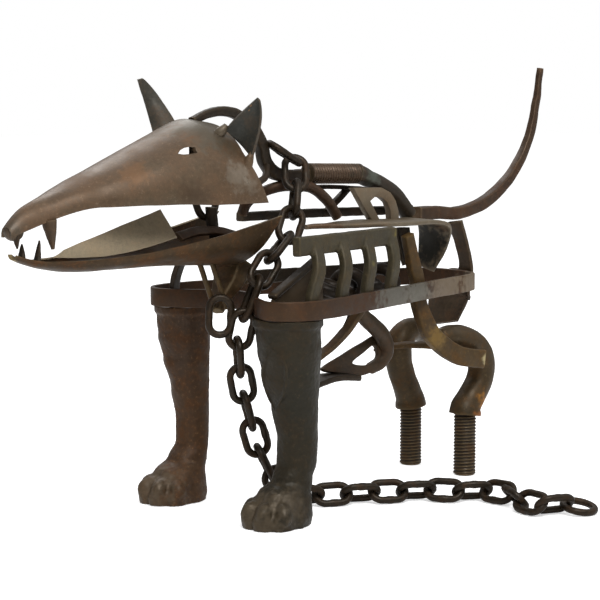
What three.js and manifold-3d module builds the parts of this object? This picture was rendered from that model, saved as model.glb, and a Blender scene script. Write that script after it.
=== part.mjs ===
// A standing dog welded together from scrap iron, with a chain round its neck.
// Millimetres, +Z up. The nose points to -X, the tail to +X, and the dog's left side faces -Y.
import * as THREE from 'three';
import { mergeVertices } from 'three/addons/utils/BufferGeometryUtils.js';
import Module from 'manifold-3d';

const wasm = await Module();
wasm.setup();

// Driving dimensions
const gap = 0.3;              // air left between pieces that touch
const sheet = 2.4;            // plate that the skull and jaw are made of
const hoopTop = 142.5;        // height of the hoop's upper edge
const hoopTall = 12;          // width of the strap that the hoop is bent from
const hoopThick = 3;
const hoopFront = 107;        // how far the hoop's two lobes reach ahead of the middle
const hoopRear = 122;
const hoopLobe = 72;          // half width across the lobes
const hoopFarShare = 0.96;    // the far half of the hoop is this much narrower
const legSpread = 50.5;       // each front leg from the middle plane
const nearLegRadius = 22.3;   // the near leg is the stouter casting
const farLegRadius = 19;
const ankleRadius = 11.2;
const bootHeight = 28;        // where the ankle widens into the paw
const boltRadius = 7.95;
const boltLength = 43;        // threaded foot of a rear hook, up to its collar
const rearSpread = 26;        // each rear hook from the middle plane
const rearX = 108;
const hookRadius = 9.6;
const skullNose = -262;
const skullRear = -95;
const skullHalfWidth = 41;
const skullRim = 202;         // height of the skull's lower edge at the back
const crownHeight = 253;
const jawRear = -73;
const jawHalfWidth = 30;
const jawRim = 172.2;         // height of the jaw's edges in front
const jawKeel = 160.8;        // height of its lowest line
const spineRadius = 6.9;
const spineHeight = 215;
const spineFront = -21;
const tailTip = [217.5, 285];
const tailWidth = 9.5;
const archRadius = 3.6;
const plateTop = 184;         // height of the plate on the dog's back
const plateThick = 3;
const grateTop = 181.5;
const grateThick = 5.8;
const ribCount = 4;
const ribPitch = 27;
const ribWidth = 9;
const wire = 4.7;             // round iron that the chain is made of
const linkPitch = 18.9;
const longLinkPitch = 23;
const linkWidth = 18.4;
const endRingRadius = 10.3;

const v3 = (x, y, z) => new THREE.Vector3(x, y, z);
const mix = THREE.MathUtils.lerp;
const clamp = THREE.MathUtils.clamp;
const upAxis = v3(0, 0, 1);
const sideAxis = v3(0, 1, 0);
const hoopBottom = hoopTop - hoopTall;
const spineBase = spineHeight - spineRadius;

// Builds one closed body from points and faces, with its faces pointing out
function bodyFrom(points, faces) {
  let volume = 0;
  for (const [a, b, c] of faces) {
    volume += points[a].dot(v3().crossVectors(points[b], points[c])) / 6;
  }
  const order = volume > 0 ? [0, 1, 2] : [0, 2, 1];
  const geometry = new THREE.BufferGeometry();
  geometry.setAttribute('position', new THREE.Float32BufferAttribute(points.flatMap((p) => p.toArray()), 3));
  geometry.setIndex(faces.flatMap((face) => order.map((corner) => face[corner])));
  return geometry;
}

// Skins a row of rings that all have the same number of points
function loft(rings, closed = false) {
  const count = rings[0].length;
  const points = rings.flat();
  const faces = [];
  const last = closed ? rings.length : rings.length - 1;
  for (let i = 0; i < last; i += 1) {
    const next = (i + 1) % rings.length;
    for (let j = 0; j < count; j += 1) {
      const k = (j + 1) % count;
      faces.push([i * count + j, i * count + k, next * count + k]);
      faces.push([i * count + j, next * count + k, next * count + j]);
    }
  }
  if (!closed) {
    for (const [ring, flip] of [[0, true], [rings.length - 1, false]]) {
      const centre = v3();
      rings[ring].forEach((p) => centre.addScaledVector(p, 1 / count));
      points.push(centre);
      for (let j = 0; j < count; j += 1) {
        const a = ring * count + j;
        const b = ring * count + ((j + 1) % count);
        faces.push(flip ? [points.length - 1, b, a] : [points.length - 1, a, b]);
      }
    }
  }
  return bodyFrom(points, faces);
}

const circle = (radius, sides) => Array.from({ length: sides }, (_, i) => {
  const turn = (i / sides) * Math.PI * 2 + Math.PI / sides;
  return [radius * Math.cos(turn), radius * Math.sin(turn)];
});

const rectangle = (wide, thick) => [[-1, -1], [1, -1], [1, 1], [-1, 1]].map(([a, b]) => (
  [a * wide / 2, b * thick / 2]
));

const curveThrough = (points, closed = false) => (
  new THREE.CatmullRomCurve3(points.map((p) => v3(...p)), closed, 'centripetal')
);

// Reads a list of evenly spaced values at a share of its length
function readAt(values, t) {
  const place = t * (values.length - 1);
  const low = Math.min(Math.floor(place), values.length - 2);
  return mix(values[low], values[low + 1], place - low);
}

// Carries a section along a curve. The section's first direction stays as close to across as it can.
function sweep(curve, section, { steps = 16, across = sideAxis, grow = 0, closed = false } = {}) {
  const rings = [];
  const stations = closed ? steps : steps + 1;
  for (let i = 0; i < stations; i += 1) {
    const t = i / steps;
    const tangent = curve.getTangentAt(t);
    const centre = curve.getPointAt(t);
    if (!closed && i === 0) centre.addScaledVector(tangent, -grow);
    if (!closed && i === steps) centre.addScaledVector(tangent, grow);
    const wide = across.clone().addScaledVector(tangent, -tangent.dot(across)).normalize();
    const thick = v3().crossVectors(tangent, wide);
    rings.push(section(t).map(([a, b]) => centre.clone().addScaledVector(wide, a).addScaledVector(thick, b)));
  }
  return loft(rings, closed);
}

// A round bar through a few points, with a radius that may change on the way
function roundBar(points, radius, { sides = 10, ...options } = {}) {
  const radiusAt = typeof radius === 'function' ? radius : () => radius;
  const grow = options.grow ?? 0;
  return sweep(curveThrough(points), (t) => circle(radiusAt(t) + grow, sides), options);
}

// A flat bar through a few points, width along across
function flatBar(points, width, thick, options = {}) {
  const widthAt = typeof width === 'function' ? width : () => width;
  const thickAt = typeof thick === 'function' ? thick : () => thick;
  const grow = (options.grow ?? 0) * 2;
  return sweep(curveThrough(points), (t) => rectangle(widthAt(t) + grow, thickAt(t) + grow), options);
}

// A curved plate: a grid of points on a surface, thickened to both sides of it
function curvedPlate(surface, columns, rows, thick, grow = 0) {
  const step = 1e-3;
  const points = [];
  const faces = [];
  const across = rows + 1;
  for (const side of [1, -1]) {
    for (let i = 0; i <= columns; i += 1) {
      for (let j = 0; j <= rows; j += 1) {
        const u = i / columns;
        const v = j / rows;
        const du = surface(Math.min(u + step, 1), v).sub(surface(Math.max(u - step, 0), v));
        const dv = surface(u, Math.min(v + step, 1)).sub(surface(u, Math.max(v - step, 0)));
        const normal = v3().crossVectors(du, dv).normalize();
        const point = surface(u, v).addScaledVector(normal, side * (thick / 2 + grow));
        if (i === 0 || i === columns) point.addScaledVector(du.normalize(), i ? grow : -grow);
        if (j === 0 || j === rows) point.addScaledVector(dv.normalize(), j ? grow : -grow);
        points.push(point);
      }
    }
  }
  const under = (columns + 1) * across;
  const quad = (a, b, c, d) => faces.push([a, b, c], [a, c, d]);
  for (let i = 0; i < columns; i += 1) {
    for (let j = 0; j < rows; j += 1) {
      const a = i * across + j;
      quad(a, a + across, a + across + 1, a + 1);
      quad(under + a, under + a + 1, under + a + across + 1, under + a + across);
    }
  }
  for (let i = 0; i < columns; i += 1) {
    const a = i * across;
    const b = a + rows;
    quad(a, under + a, under + a + across, a + across);
    quad(b, b + across, under + b + across, under + b);
  }
  for (let j = 0; j < rows; j += 1) {
    const a = j;
    const b = columns * across + j;
    quad(a, a + 1, under + a + 1, under + a);
    quad(b, under + b, under + b + 1, b + 1);
  }
  return bodyFrom(points, faces);
}

// Moves every edge of an outline out by the same distance
function swollenOutline(outline, grow) {
  const area = outline.reduce((sum, [x, z], i) => {
    const [nextX, nextZ] = outline[(i + 1) % outline.length];
    return sum + x * nextZ - nextX * z;
  }, 0);
  const sign = area > 0 ? 1 : -1;
  const outwardOf = ([x0, z0], [x1, z1]) => new THREE.Vector2(z1 - z0, x0 - x1).normalize().multiplyScalar(sign);
  return outline.map((point, i) => {
    const before = outline[(i + outline.length - 1) % outline.length];
    const after = outline[(i + 1) % outline.length];
    const first = outwardOf(before, point);
    const second = outwardOf(point, after);
    const middle = first.clone().add(second).normalize();
    const reach = grow / Math.max(0.4, middle.dot(second));
    return [point[0] + middle.x * reach, point[1] + middle.y * reach];
  });
}

// A flat plate cut to an outline in X and Z, with its thickness along Y about a middle plane
function uprightPlate(outline, middleY, thick, { hole = null, grow = 0 } = {}) {
  const toVectors = (points, by) => swollenOutline(points, by).map(([x, z]) => new THREE.Vector2(x, z));
  const rim = toVectors(outline, grow);
  const shape = new THREE.Shape(THREE.ShapeUtils.isClockWise(rim) ? rim.reverse() : rim);
  if (hole) shape.holes = [new THREE.Path(toVectors(hole, -grow))];
  const depth = thick + grow * 2;
  const geometry = new THREE.ExtrudeGeometry(shape, { depth, bevelEnabled: false });
  return geometry.translate(0, 0, -depth / 2).rotateX(Math.PI / 2).translate(0, middleY, 0);
}

function toSolid(geometry) {
  const bare = geometry.clone();
  bare.deleteAttribute('normal');
  bare.deleteAttribute('uv');
  const merged = mergeVertices(bare, 1e-4);
  return new wasm.Manifold(new wasm.Mesh({
    numProp: 3,
    vertProperties: new Float32Array(merged.attributes.position.array),
    triVerts: new Uint32Array(merged.index.array),
  }));
}

function toGeometry(solid) {
  const { vertProperties, triVerts } = solid.getMesh();
  const geometry = new THREE.BufferGeometry();
  geometry.setAttribute('position', new THREE.BufferAttribute(vertProperties, 3));
  geometry.setIndex(new THREE.BufferAttribute(triVerts, 1));
  return geometry;
}

const joined = (parts) => parts.map(toSolid).reduce((all, part) => all.add(part));
const without = (body, cutters) => cutters.map(toSolid).reduce((rest, cutter) => rest.subtract(cutter), body);

// Each piece is made by a function of how much it is swollen. A later piece is cut clear of the
// earlier pieces that it meets, by the same function swollen by the gap.
const finishes = {
  brownRust: [0x5a4334, 0.72, 0.55],
  darkIron: [0x37322e, 0.62, 0.7],
  greyOlive: [0x6a6653, 0.66, 0.6],
  tanIron: [0x77705f, 0.6, 0.6],
  rustMottled: [0x5b4636, 0.8, 0.4],
  greenBlack: [0x3c3d36, 0.7, 0.5],
  chainIron: [0x4a3d31, 0.6, 0.7],
};
const pieces = [];

function asSolid(made) {
  return made instanceof THREE.BufferGeometry ? toSolid(made) : made;
}

function boxesMeet(a, b) {
  const [boxA, boxB] = [a.boundingBox(), b.boundingBox()];
  return [0, 1, 2].every((axis) => boxA.min[axis] <= boxB.max[axis] && boxB.min[axis] <= boxA.max[axis]);
}

function largestBody(solid) {
  return solid.decompose().reduce((best, part) => (part.volume() > best.volume() ? part : best));
}

function addPiece(name, finish, make) {
  let solid = asSolid(make(0));
  for (const other of pieces) {
    if (!boxesMeet(solid, other.swollen)) continue;
    solid = solid.subtract(other.swollen).subtract(other.solid);
  }
  pieces.push({ name, finish, solid: largestBody(solid), swollen: asSolid(make(gap)) });
}

// The chain. It runs from the neck, down past the chest and along the floor.
const floorHeight = (linkWidth - wire) / 2 * Math.SQRT1_2 + wire / 2 + 0.45;
const chainRoute = curveThrough([
  [-54.5, -3, spineHeight + 20], [-39, -7, spineHeight + 10], [-46, -15, spineHeight - 5.5],
  [-53, -21, spineHeight - 22], [-64, -25.5, 177.5], [-79, -26.5, 165], [-93, -27.5, hoopTop + 6.5],
  [-99, -22.5, hoopTop - 15], [-99, -17.5, 108.5], [-93.5, -14, 89.5], [-87.5, -13, 70], [-81, -13, 51],
  [-74, -14, 33], [-62.5, -16.5, 16], [-46, -24, floorHeight], [-29, -34, floorHeight], [-12.5, -44, floorHeight],
  [4, -54, floorHeight], [20, -64, floorHeight], [34.5, -76, floorHeight], [39, -94, floorHeight],
  [57.5, -96, floorHeight], [53.5, -114.5, floorHeight], [44.5, -131, floorHeight], [43, -150, floorHeight],
  [61, -157, floorHeight], [80, -163, floorHeight],
]);
const hangingLinks = 14;
const floorLinks = 11;
const longLink = 6;           // counted from 0, the link that bridges the hoop

// Steps along the route by one pitch at a time and returns the points where links touch.
// Past the end of the route the chain goes straight on.
function linkJoints(curve, count) {
  const samples = curve.getSpacedPoints(3000);
  const joints = [samples[0]];
  for (const point of samples) {
    if (joints.length > count) break;
    const pitch = joints.length - 1 === longLink ? longLinkPitch : linkPitch;
    if (point.distanceTo(joints[joints.length - 1]) >= pitch) joints.push(point);
  }
  const onward = curve.getTangent(1);
  while (joints.length <= count) {
    joints.push(joints[joints.length - 1].clone().addScaledVector(onward, linkPitch));
  }
  return joints;
}

const chainJoints = linkJoints(chainRoute, hangingLinks + floorLinks);

// One oval link between two joints, lying in the plane of its length and the flat direction
function linkAt(from, to, flat, play, grow) {
  const along = to.clone().sub(from);
  const inside = along.length() + play;
  along.normalize();
  const centre = from.clone().add(to).multiplyScalar(0.5);
  const wide = flat.clone().addScaledVector(along, -flat.dot(along)).normalize();
  const bendRadius = (linkWidth - wire) / 2;
  const halfStraight = (inside + wire) / 2 - bendRadius;
  const points = [];
  for (const end of [1, -1]) {
    for (let k = 0; k <= 3; k += 1) {
      const turn = (k / 3 - 0.5) * Math.PI;
      const reach = end * (halfStraight + bendRadius * Math.cos(turn));
      const sideways = end * bendRadius * Math.sin(turn);
      points.push(centre.clone().addScaledVector(along, reach).addScaledVector(wide, sideways));
    }
  }
  const across = v3().crossVectors(along, wide);
  const rings = points.map((point, i) => {
    const ahead = points[(i + 1) % points.length];
    const behind = points[(i + points.length - 1) % points.length];
    const outward = v3().crossVectors(ahead.clone().sub(behind).normalize(), across);
    return circle(wire / 2 + grow, 5).map(([a, b]) => (
      point.clone().addScaledVector(outward, a).addScaledVector(across, b)
    ));
  });
  return loft(rings, true);
}

// The flat direction of every other link is turned by a quarter turn
const flatInward = v3(0.54, 0.85, 0);
const flatBesideHoop = v3(0.45, 0.89, 0);
function linkFlat(index) {
  const along = chainJoints[index + 1].clone().sub(chainJoints[index]).normalize();
  if (index >= hangingLinks) {
    const tilt = index % 2 ? Math.PI / 4 : -Math.PI / 4;
    return v3().crossVectors(along, upAxis).normalize().applyAxisAngle(along, tilt);
  }
  if (index === longLink) return flatBesideHoop;
  const inward = flatInward.clone().addScaledVector(along, -flatInward.dot(along)).normalize();
  return index % 2 ? v3().crossVectors(along, inward) : inward;
}

const chainName = (index) => `chain_link_${String(index + 1).padStart(2, '0')}`;
for (let i = 0; i < hangingLinks; i += 1) {
  addPiece(chainName(i), 'chainIron', (grow) => (
    linkAt(chainJoints[i], chainJoints[i + 1], linkFlat(i), gap * 2, grow)
  ));
}

// One more link hangs beside the long one
const sideLinkTop = chainJoints[longLink + 1].clone().add(v3(-11, 10, 9));
const sideLinkEnd = sideLinkTop.clone().add(v3(-1, 0, -linkPitch));
addPiece(chainName(hangingLinks), 'chainIron', (grow) => (
  linkAt(sideLinkTop, sideLinkEnd, v3(0.8, -0.6, 0), 0, grow)
));

function floorChain(grow) {
  const links = [];
  for (let i = hangingLinks; i < hangingLinks + floorLinks; i += 1) {
    links.push(linkAt(chainJoints[i], chainJoints[i + 1], linkFlat(i), -gap, grow));
  }
  return joined(links);
}
addPiece('chain_on_floor', 'chainIron', floorChain);

function endRing(grow) {
  const last = hangingLinks + floorLinks;
  const along = chainJoints[last].clone().sub(chainJoints[last - 1]).setZ(0).normalize();
  const tilt = 0.2;
  const ring = new THREE.TorusGeometry(endRingRadius, wire / 2 + grow, 5, 12);
  const centre = chainJoints[last].clone().addScaledVector(along, endRingRadius - wire / 2 + gap);
  return ring.rotateX(tilt).translate(centre.x, centre.y, wire / 2 + endRingRadius * Math.sin(tilt));
}
addPiece('chain_end_ring', 'chainIron', endRing);

// The hoop: a strap on edge, bent to a closed heart with a lobe over each front leg
const hoopHalf = [
  [-hoopFront + 27, 6], [-hoopFront + 18, 22], [-hoopFront + 6, 39], [-hoopFront, hoopLobe * 0.77],
  [-hoopFront + 7, hoopLobe * 0.93], [-hoopFront + 22, hoopLobe], [-hoopFront + 47, hoopLobe * 0.97],
  [-25, hoopLobe * 0.85], [20, hoopLobe * 0.7], [64, hoopLobe * 0.55], [hoopRear - 18, 31],
  [hoopRear - 6, 25], [hoopRear, 12],
];
const hoopOutline = [
  ...hoopHalf.map(([x, y]) => [x, -y, hoopBottom + hoopTall / 2]),
  ...hoopHalf.map(([x, y]) => [x, y * hoopFarShare, hoopBottom + hoopTall / 2]).reverse(),
];
addPiece('body_hoop', 'brownRust', (grow) => sweep(
  curveThrough(hoopOutline, true),
  () => rectangle(hoopTall + grow * 2, hoopThick + grow * 2),
  { steps: 38, across: upAxis, closed: true },
));

// Half width of the hoop, to its middle line, at a place along the dog
function hoopWidthAt(x) {
  const side = hoopHalf.slice(5);
  for (let i = 1; i < side.length; i += 1) {
    const [x0, y0] = side[i - 1];
    const [x1, y1] = side[i];
    if (x <= x1) return mix(y0, y1, clamp((x - x0) / (x1 - x0), 0, 1));
  }
  return side[side.length - 1][1];
}

// A front leg: a hollow-chested casting with a collar, an ankle and a paw with toes
const legTop = hoopBottom - gap;
const legRings = [
  // height as a share of the leg above the paw, middle from the leg's axis, half length, half width
  [1, 0, 1, 1], [0.955, 0, 1, 1], [0.94, 0, 0.93, 0.93], [0.8, 1, 0.92, 0.9], [0.65, 3, 0.83, 0.8],
  [0.45, 6, 0.69, 0.66], [0.25, 8, 0.6, 0.58], [0.1, 7.5, 0.59, 0.58],
];
const legAxisX = -86.5;
const pawX = -95;
const pawRings = [
  // height as a share of the boot, middle as a share of the way to the paw, half length, half width
  [1, 0.25, 13.4, 12.4], [0.72, 0.65, 17.8, 15.2], [0.45, 0.9, 22.2, 17.8], [0.2, 1, 24, 19.2], [0, 1, 22.8, 18.6],
];
const toeAngles = [-62, -22, 22, 62];

function frontLeg(side, topRadius, grow) {
  const rings = [];
  const sides = 12;
  const ringAt = (x, z, halfLong, halfWide) => rings.push(Array.from({ length: sides }, (_, i) => {
    const turn = (i / sides) * Math.PI * 2;
    return v3(
      x + (halfLong + grow) * Math.cos(turn),
      side * legSpread + (halfWide + grow) * Math.sin(turn),
      z,
    );
  }));
  for (const [share, shift, long, wide] of legRings) {
    const z = mix(bootHeight, legTop, share) + (share === 1 ? grow : 0);
    ringAt(legAxisX + shift, z, long * topRadius, wide * topRadius);
  }
  const ankleX = legAxisX + legRings[legRings.length - 1][1];
  for (const [share, forward, long, wide] of pawRings) {
    ringAt(mix(ankleX, pawX, forward), share * bootHeight, long, wide);
  }
  const toes = toeAngles.map((angle) => {
    const turn = THREE.MathUtils.degToRad(180 + angle);
    const toe = new THREE.SphereGeometry(1, 6, 3);
    toe.scale(8.4 + grow, 6.2 + grow, 8.6 + grow);
    toe.rotateZ(turn);
    return toe.translate(pawX + 17.5 * Math.cos(turn), side * legSpread + 14.5 * Math.sin(turn), 8.7);
  });
  return joined([loft(rings), ...toes]);
}
addPiece('near_front_leg', 'greenBlack', (grow) => frontLeg(-1, nearLegRadius, grow));
addPiece('far_front_leg', 'rustMottled', (grow) => frontLeg(1, farLegRadius, grow));

// A rear hook: hook, flared collar and threaded shank in one forging
function rearHook(side, route, grow) {
  const radii = [0.72, 0.84, 0.93, 1, 1.04, 1, 0.98, 1.02, 1.17];
  const radiusAt = (t) => readAt(radii, t) * hookRadius;
  const points = route.map(([x, z]) => [x, side * rearSpread, z]);
  const hook = roundBar(points, radiusAt, { sides: 8, steps: 12, grow });
  const chamfer = 1.4;
  const profile = [
    [0, 0], [boltRadius - chamfer + grow, 0], [boltRadius + grow, chamfer], [boltRadius + grow, boltLength + 6],
    [0, boltLength + 6],
  ].map(([r, z]) => new THREE.Vector2(r, z));
  const shank = new THREE.LatheGeometry(profile, 12);
  shank.rotateX(Math.PI / 2).translate(rearX, side * rearSpread, 0);
  return joined([hook, shank]);
}
const nearHookRoute = [
  [80, 99], [92, 99.5], [106, 96.5], [118, 89.5], [125, 78], [123, 66], [115.5, 56], [rearX + 1, 48],
  [rearX, boltLength],
];
const farHookRoute = [
  [124, 93], [114, 97.5], [103, 97], [95, 89.5], [94.5, 78], [98.5, 66.5], [103.5, 56], [rearX - 1, 48],
  [rearX, boltLength],
];
addPiece('near_rear_leg', 'tanIron', (grow) => rearHook(-1, nearHookRoute, grow));
addPiece('far_rear_leg', 'tanIron', (grow) => rearHook(1, farHookRoute, grow));

// The skull: an arched shell, from a blunt nose to an open back
function skullSurface(u, v) {
  const turn = (v - 0.5) * Math.PI;
  const arch = Math.cos(turn);
  const rear = mix(skullRear, skullRear - 12.5, Math.min(1, arch * 1.6));
  const x = mix(skullNose, rear, u);
  const width = skullHalfWidth * (0.1 + 0.9 * Math.sin(u * Math.PI / 2) ** 1.15);
  const beak = Math.max(0, 1 - u / 0.32);
  const rim = skullRim + 1.6 * Math.sin(Math.PI * Math.min(1, u * 1.15)) - 14.5 * beak ** 1.5;
  return v3(x, width * Math.sin(turn), mix(rim, crownAt(u), arch));
}

// Height of the skull's middle line, rising steeply from the nose and then straight to the crown
function crownAt(u) {
  const noseRise = 5.6 * (1 - (1 - Math.min(1, u / 0.1)) ** 2);
  const slope = (crownHeight - skullRim + 8.5 - 5.6) * Math.min(1, u / 0.88);
  const round = -3.5 * Math.max(0, (u - 0.8) / 0.2) ** 2;
  return skullRim - 8.5 + noseRise + slope + round;
}

function skull(grow) {
  const shell = curvedPlate(skullSurface, 12, 8, sheet, grow);
  const nose = new THREE.SphereGeometry(1, 8, 5);
  nose.scale(6 + grow, 5 + grow, 4.8 + grow);
  nose.translate(skullNose + 4.5, 0, skullRim - 10.8);
  const closed = joined([shell, nose]);
  if (grow > 0) return closed;
  const eye = new THREE.Shape();
  eye.moveTo(0, 0.4);
  eye.quadraticCurveTo(6, 6.4, 13.4, 4.7);
  eye.quadraticCurveTo(12.2, 2.6, 12.6, 0.5);
  eye.quadraticCurveTo(6, -1.4, 0, 0.4);
  const depth = skullHalfWidth * 2.4;
  const cutter = new THREE.ExtrudeGeometry(eye, { depth, bevelEnabled: false, curveSegments: 3 });
  cutter.rotateX(Math.PI / 2);
  cutter.translate(skullRear - 58.8, depth / 2, mix(skullRim, crownHeight, 0.61));
  return without(closed, [cutter]);
}
addPiece('skull', 'brownRust', skull);

// The lower jaw: a boat with its keel down, cut on a slant behind
function jawSurface(u, v) {
  const turn = (v - 0.5) * Math.PI;
  const deep = Math.cos(turn);
  const rear = mix(jawRear, jawRear - 20, deep ** 0.8);
  const x = mix(skullNose + 4, rear, u);
  const width = jawHalfWidth * (0.1 + 0.9 * Math.sin(u * Math.PI / 2) ** 0.8);
  const rim = jawRim + 19.9 * Math.max(0, (u - 0.3) / 0.7) ** 1.45 + 5 * Math.max(0, 1 - u / 0.12) ** 2;
  const keel = jawKeel + 14.2 * (1 - Math.min(1, u / 0.5)) ** 3 + 4.5 * Math.sin(Math.PI * clamp(u, 0, 1));
  return v3(x, width * Math.sin(turn), mix(rim, Math.min(keel, rim - 1.2), deep ** 0.9));
}
addPiece('lower_jaw', 'brownRust', (grow) => curvedPlate(jawSurface, 10, 6, sheet, grow));

// What stands in the jaw
function bladeSurface(u, v) {
  const lower = v3(mix(-238, -145, u), mix(-6, -13, u), jawRim + mix(2.4, 8.6, u) - 4.5 * Math.sin(Math.PI * u));
  const upper = v3(mix(-238, -149, u), mix(-6, -2, u), jawRim + mix(2.7, 25.8, u ** 0.95));
  return lower.lerp(upper, mix(0, v, Math.min(1, 0.12 + u * 6)));
}
addPiece('tongue_blade', 'greyOlive', (grow) => curvedPlate(bladeSurface, 8, 2, 2.6, grow));
addPiece('jaw_rail', 'tanIron', (grow) => flatBar(
  [[-140, -9, jawRim + 9], [-124, -8, jawRim + 11.5], [-108, -10, jawRim + 11], [-98, -15, jawRim + 8]], 8, 3.4,
  { steps: 6, across: v3(0, 1, 0.9), grow },
));

// Four pegs set in the edges of skull and jaw
const mouthAt = (share) => mix(jawRim, skullRim, share);
const fangs = [
  // name, root, tip, radius at the root
  ['upper_front_fang', [-257.5, -3, mouthAt(0.56)], [-257, -3, mouthAt(0.32)], 2.6],
  ['upper_side_fang', [-238, -10, mouthAt(0.7)], [-236.7, -10.5, mouthAt(0.25)], 5.2],
  ['lower_front_fang', [-249.5, 3, mouthAt(0.1)], [-249.2, 3, mouthAt(0.36)], 3],
  ['lower_side_fang', [-244.6, -5.5, mouthAt(0.03)], [-242.9, -5.5, mouthAt(0.43)], 3],
];
for (const [name, root, tip, radius] of fangs) {
  addPiece(name, 'darkIron', (grow) => {
    const foot = v3(...root).lerp(v3(...tip), -0.18).toArray();
    const taper = (t) => mix(radius, radius * 0.16, t ** 1.4);
    return roundBar([foot, tip], taper, { sides: 7, steps: 3, across: v3(1, 0, 0), grow });
  });
}

// Ears: hollow claws with a broad foot, standing a little off the back edge of the skull
function earSurface({ front, back, tip, bulge, hollow, bow, tipWidth }, u, v) {
  const narrow = Math.sin(Math.PI * Math.min(1, u));
  const foot = v3(...back).sub(v3(...front)).normalize();
  const left = v3(...front).lerp(v3(...tip), u).addScaledVector(v3(...bow), narrow);
  const right = v3(...back).lerp(v3(...tip), u).addScaledVector(v3(...bulge), narrow);
  left.addScaledVector(foot, -tipWidth / 2 * u);
  right.addScaledVector(foot, tipWidth / 2 * u);
  const normal = right.clone().sub(left).cross(upAxis).normalize();
  return left.lerp(right, v).addScaledVector(normal, hollow * (1 - u) * Math.sin(Math.PI * v));
}
const nearEar = {
  front: [skullRear - 20.5, -skullHalfWidth * 0.62, mix(skullRim, crownHeight, 0.88)],
  back: [skullRear - 10.5, -skullHalfWidth * 0.94, mix(skullRim, crownHeight, 0.55)],
  tip: [skullRear - 12, -skullHalfWidth * 1.13, crownHeight + 13],
  bulge: [1.5, -2.3, 2.5], bow: [-1, 1, -0.8], hollow: -5, tipWidth: 2.4,
};
const farEar = {
  front: [skullRear - 28, skullHalfWidth * 0.8, mix(skullRim, crownHeight, 0.72)],
  back: [skullRear - 12, skullHalfWidth * 0.66, mix(skullRim, crownHeight, 0.8)],
  tip: [skullRear - 29.5, skullHalfWidth * 1.12, crownHeight + 25],
  bulge: [2.4, 4.8, 4.5], bow: [4.4, 3.2, -5], hollow: 4, tipWidth: 3.6,
};
for (const [name, ear, finish] of [['near_ear', nearEar, 'darkIron'], ['far_ear', farEar, 'brownRust']]) {
  addPiece(name, finish, (grow) => curvedPlate((u, v) => earSurface(ear, u, v), 6, 4, 2, grow));
}

// The spine: a long bolt, straight in front and bent down to the root of the tail
const spineRoute = [
  [spineFront, 0, spineHeight + 0.8], [0, 0, spineHeight], [26, 0, spineHeight - 1], [34, 0, spineHeight - 3.8],
  [46, 0, spineHeight - 8.5], [60, 0, spineHeight - 15.5], [69, 0, spineHeight - 23.5], [76, 0, spineHeight - 31],
];
addPiece('spine_bolt', 'brownRust', (grow) => roundBar(spineRoute, (t) => (
  spineRadius * mix(1, 0.86, clamp((t - 0.4) * 5, 0, 1))
), { sides: 9, steps: 12, grow }));

// The neck: a flat-sided bar from the crown, over behind the ears and down to the spine
const neckRoute = [
  [-121, 0, crownHeight - 1], [-109, 0, crownHeight + 3], [-97, 0, crownHeight + 4.8], [-84, 0, crownHeight + 2.5],
  [-70.5, 0, crownHeight - 6], [-62.5, 0, mix(spineHeight, crownHeight, 0.55)], [-57, 2, spineHeight + 9],
  [-48, 3, spineHeight + 2], [-35, 2, spineHeight - 0.5], [spineFront - gap, 0, spineHeight],
];
addPiece('neck_hook', 'darkIron', (grow) => flatBar(
  neckRoute, (t) => mix(6, 8.5, t), (t) => mix(5.2, 8.5, Math.min(1, t * 1.5)), { steps: 16, grow },
));
addPiece('neck_rod', 'darkIron', (grow) => roundBar(
  [[-58, 0, spineHeight + 7], [-70, -12, spineHeight + 1], [-100, -30, spineHeight - 4]], 2.3,
  { steps: 5, sides: 8, grow },
));

// The tail: a square bar that thins and curls up to its tip
const tailRoot = [84, 0, plateTop];
addPiece('tail_bar', 'tanIron', (grow) => flatBar(
  [tailRoot, [104, 0, plateTop], [125, 0, plateTop - 1.5], [150, 0, plateTop + 3], [171, 0, plateTop + 12.5],
    [191, 0, plateTop + 29], [205, 0, plateTop + 50], [213.5, 0, plateTop + 78], [tailTip[0], 0, tailTip[1]]],
  (t) => mix(tailWidth, 4, t ** 1.3), (t) => mix(tailWidth, 4.4, t ** 1.2), { steps: 16, grow },
));

// The back: a leaf-shaped plate, curled down behind
const backRoute = [
  [-41, -19, plateTop - 1.5], [-20, -21, plateTop - 1.5], [10, -23, plateTop - 1.5], [45, -23, plateTop - 2.5],
  [72, -19, plateTop - 3.5], [85, -15, plateTop - 7], [90.5, -11, plateTop - 15], [91, -8, plateTop - 26],
  [88.5, -5, plateTop - 38],
];
const backWidths = [4, 12, 24, 32, 33, 30, 29, 29, 26, 17];
addPiece('top_plate', 'tanIron', (grow) => flatBar(
  backRoute, (t) => readAt(backWidths, t), plateThick, { steps: 16, grow },
));

// The grate: a casting with a bar on top and bulging ribs down to the inside of the hoop
const grateRear = [9.5, -45.5];
const grateFront = [grateRear[0] - ribPitch * (ribCount - 1), -59.5];
const grateBarTall = 12;
const ribBulge = 3.5;         // how far a rib stands out between bar and hoop

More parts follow.
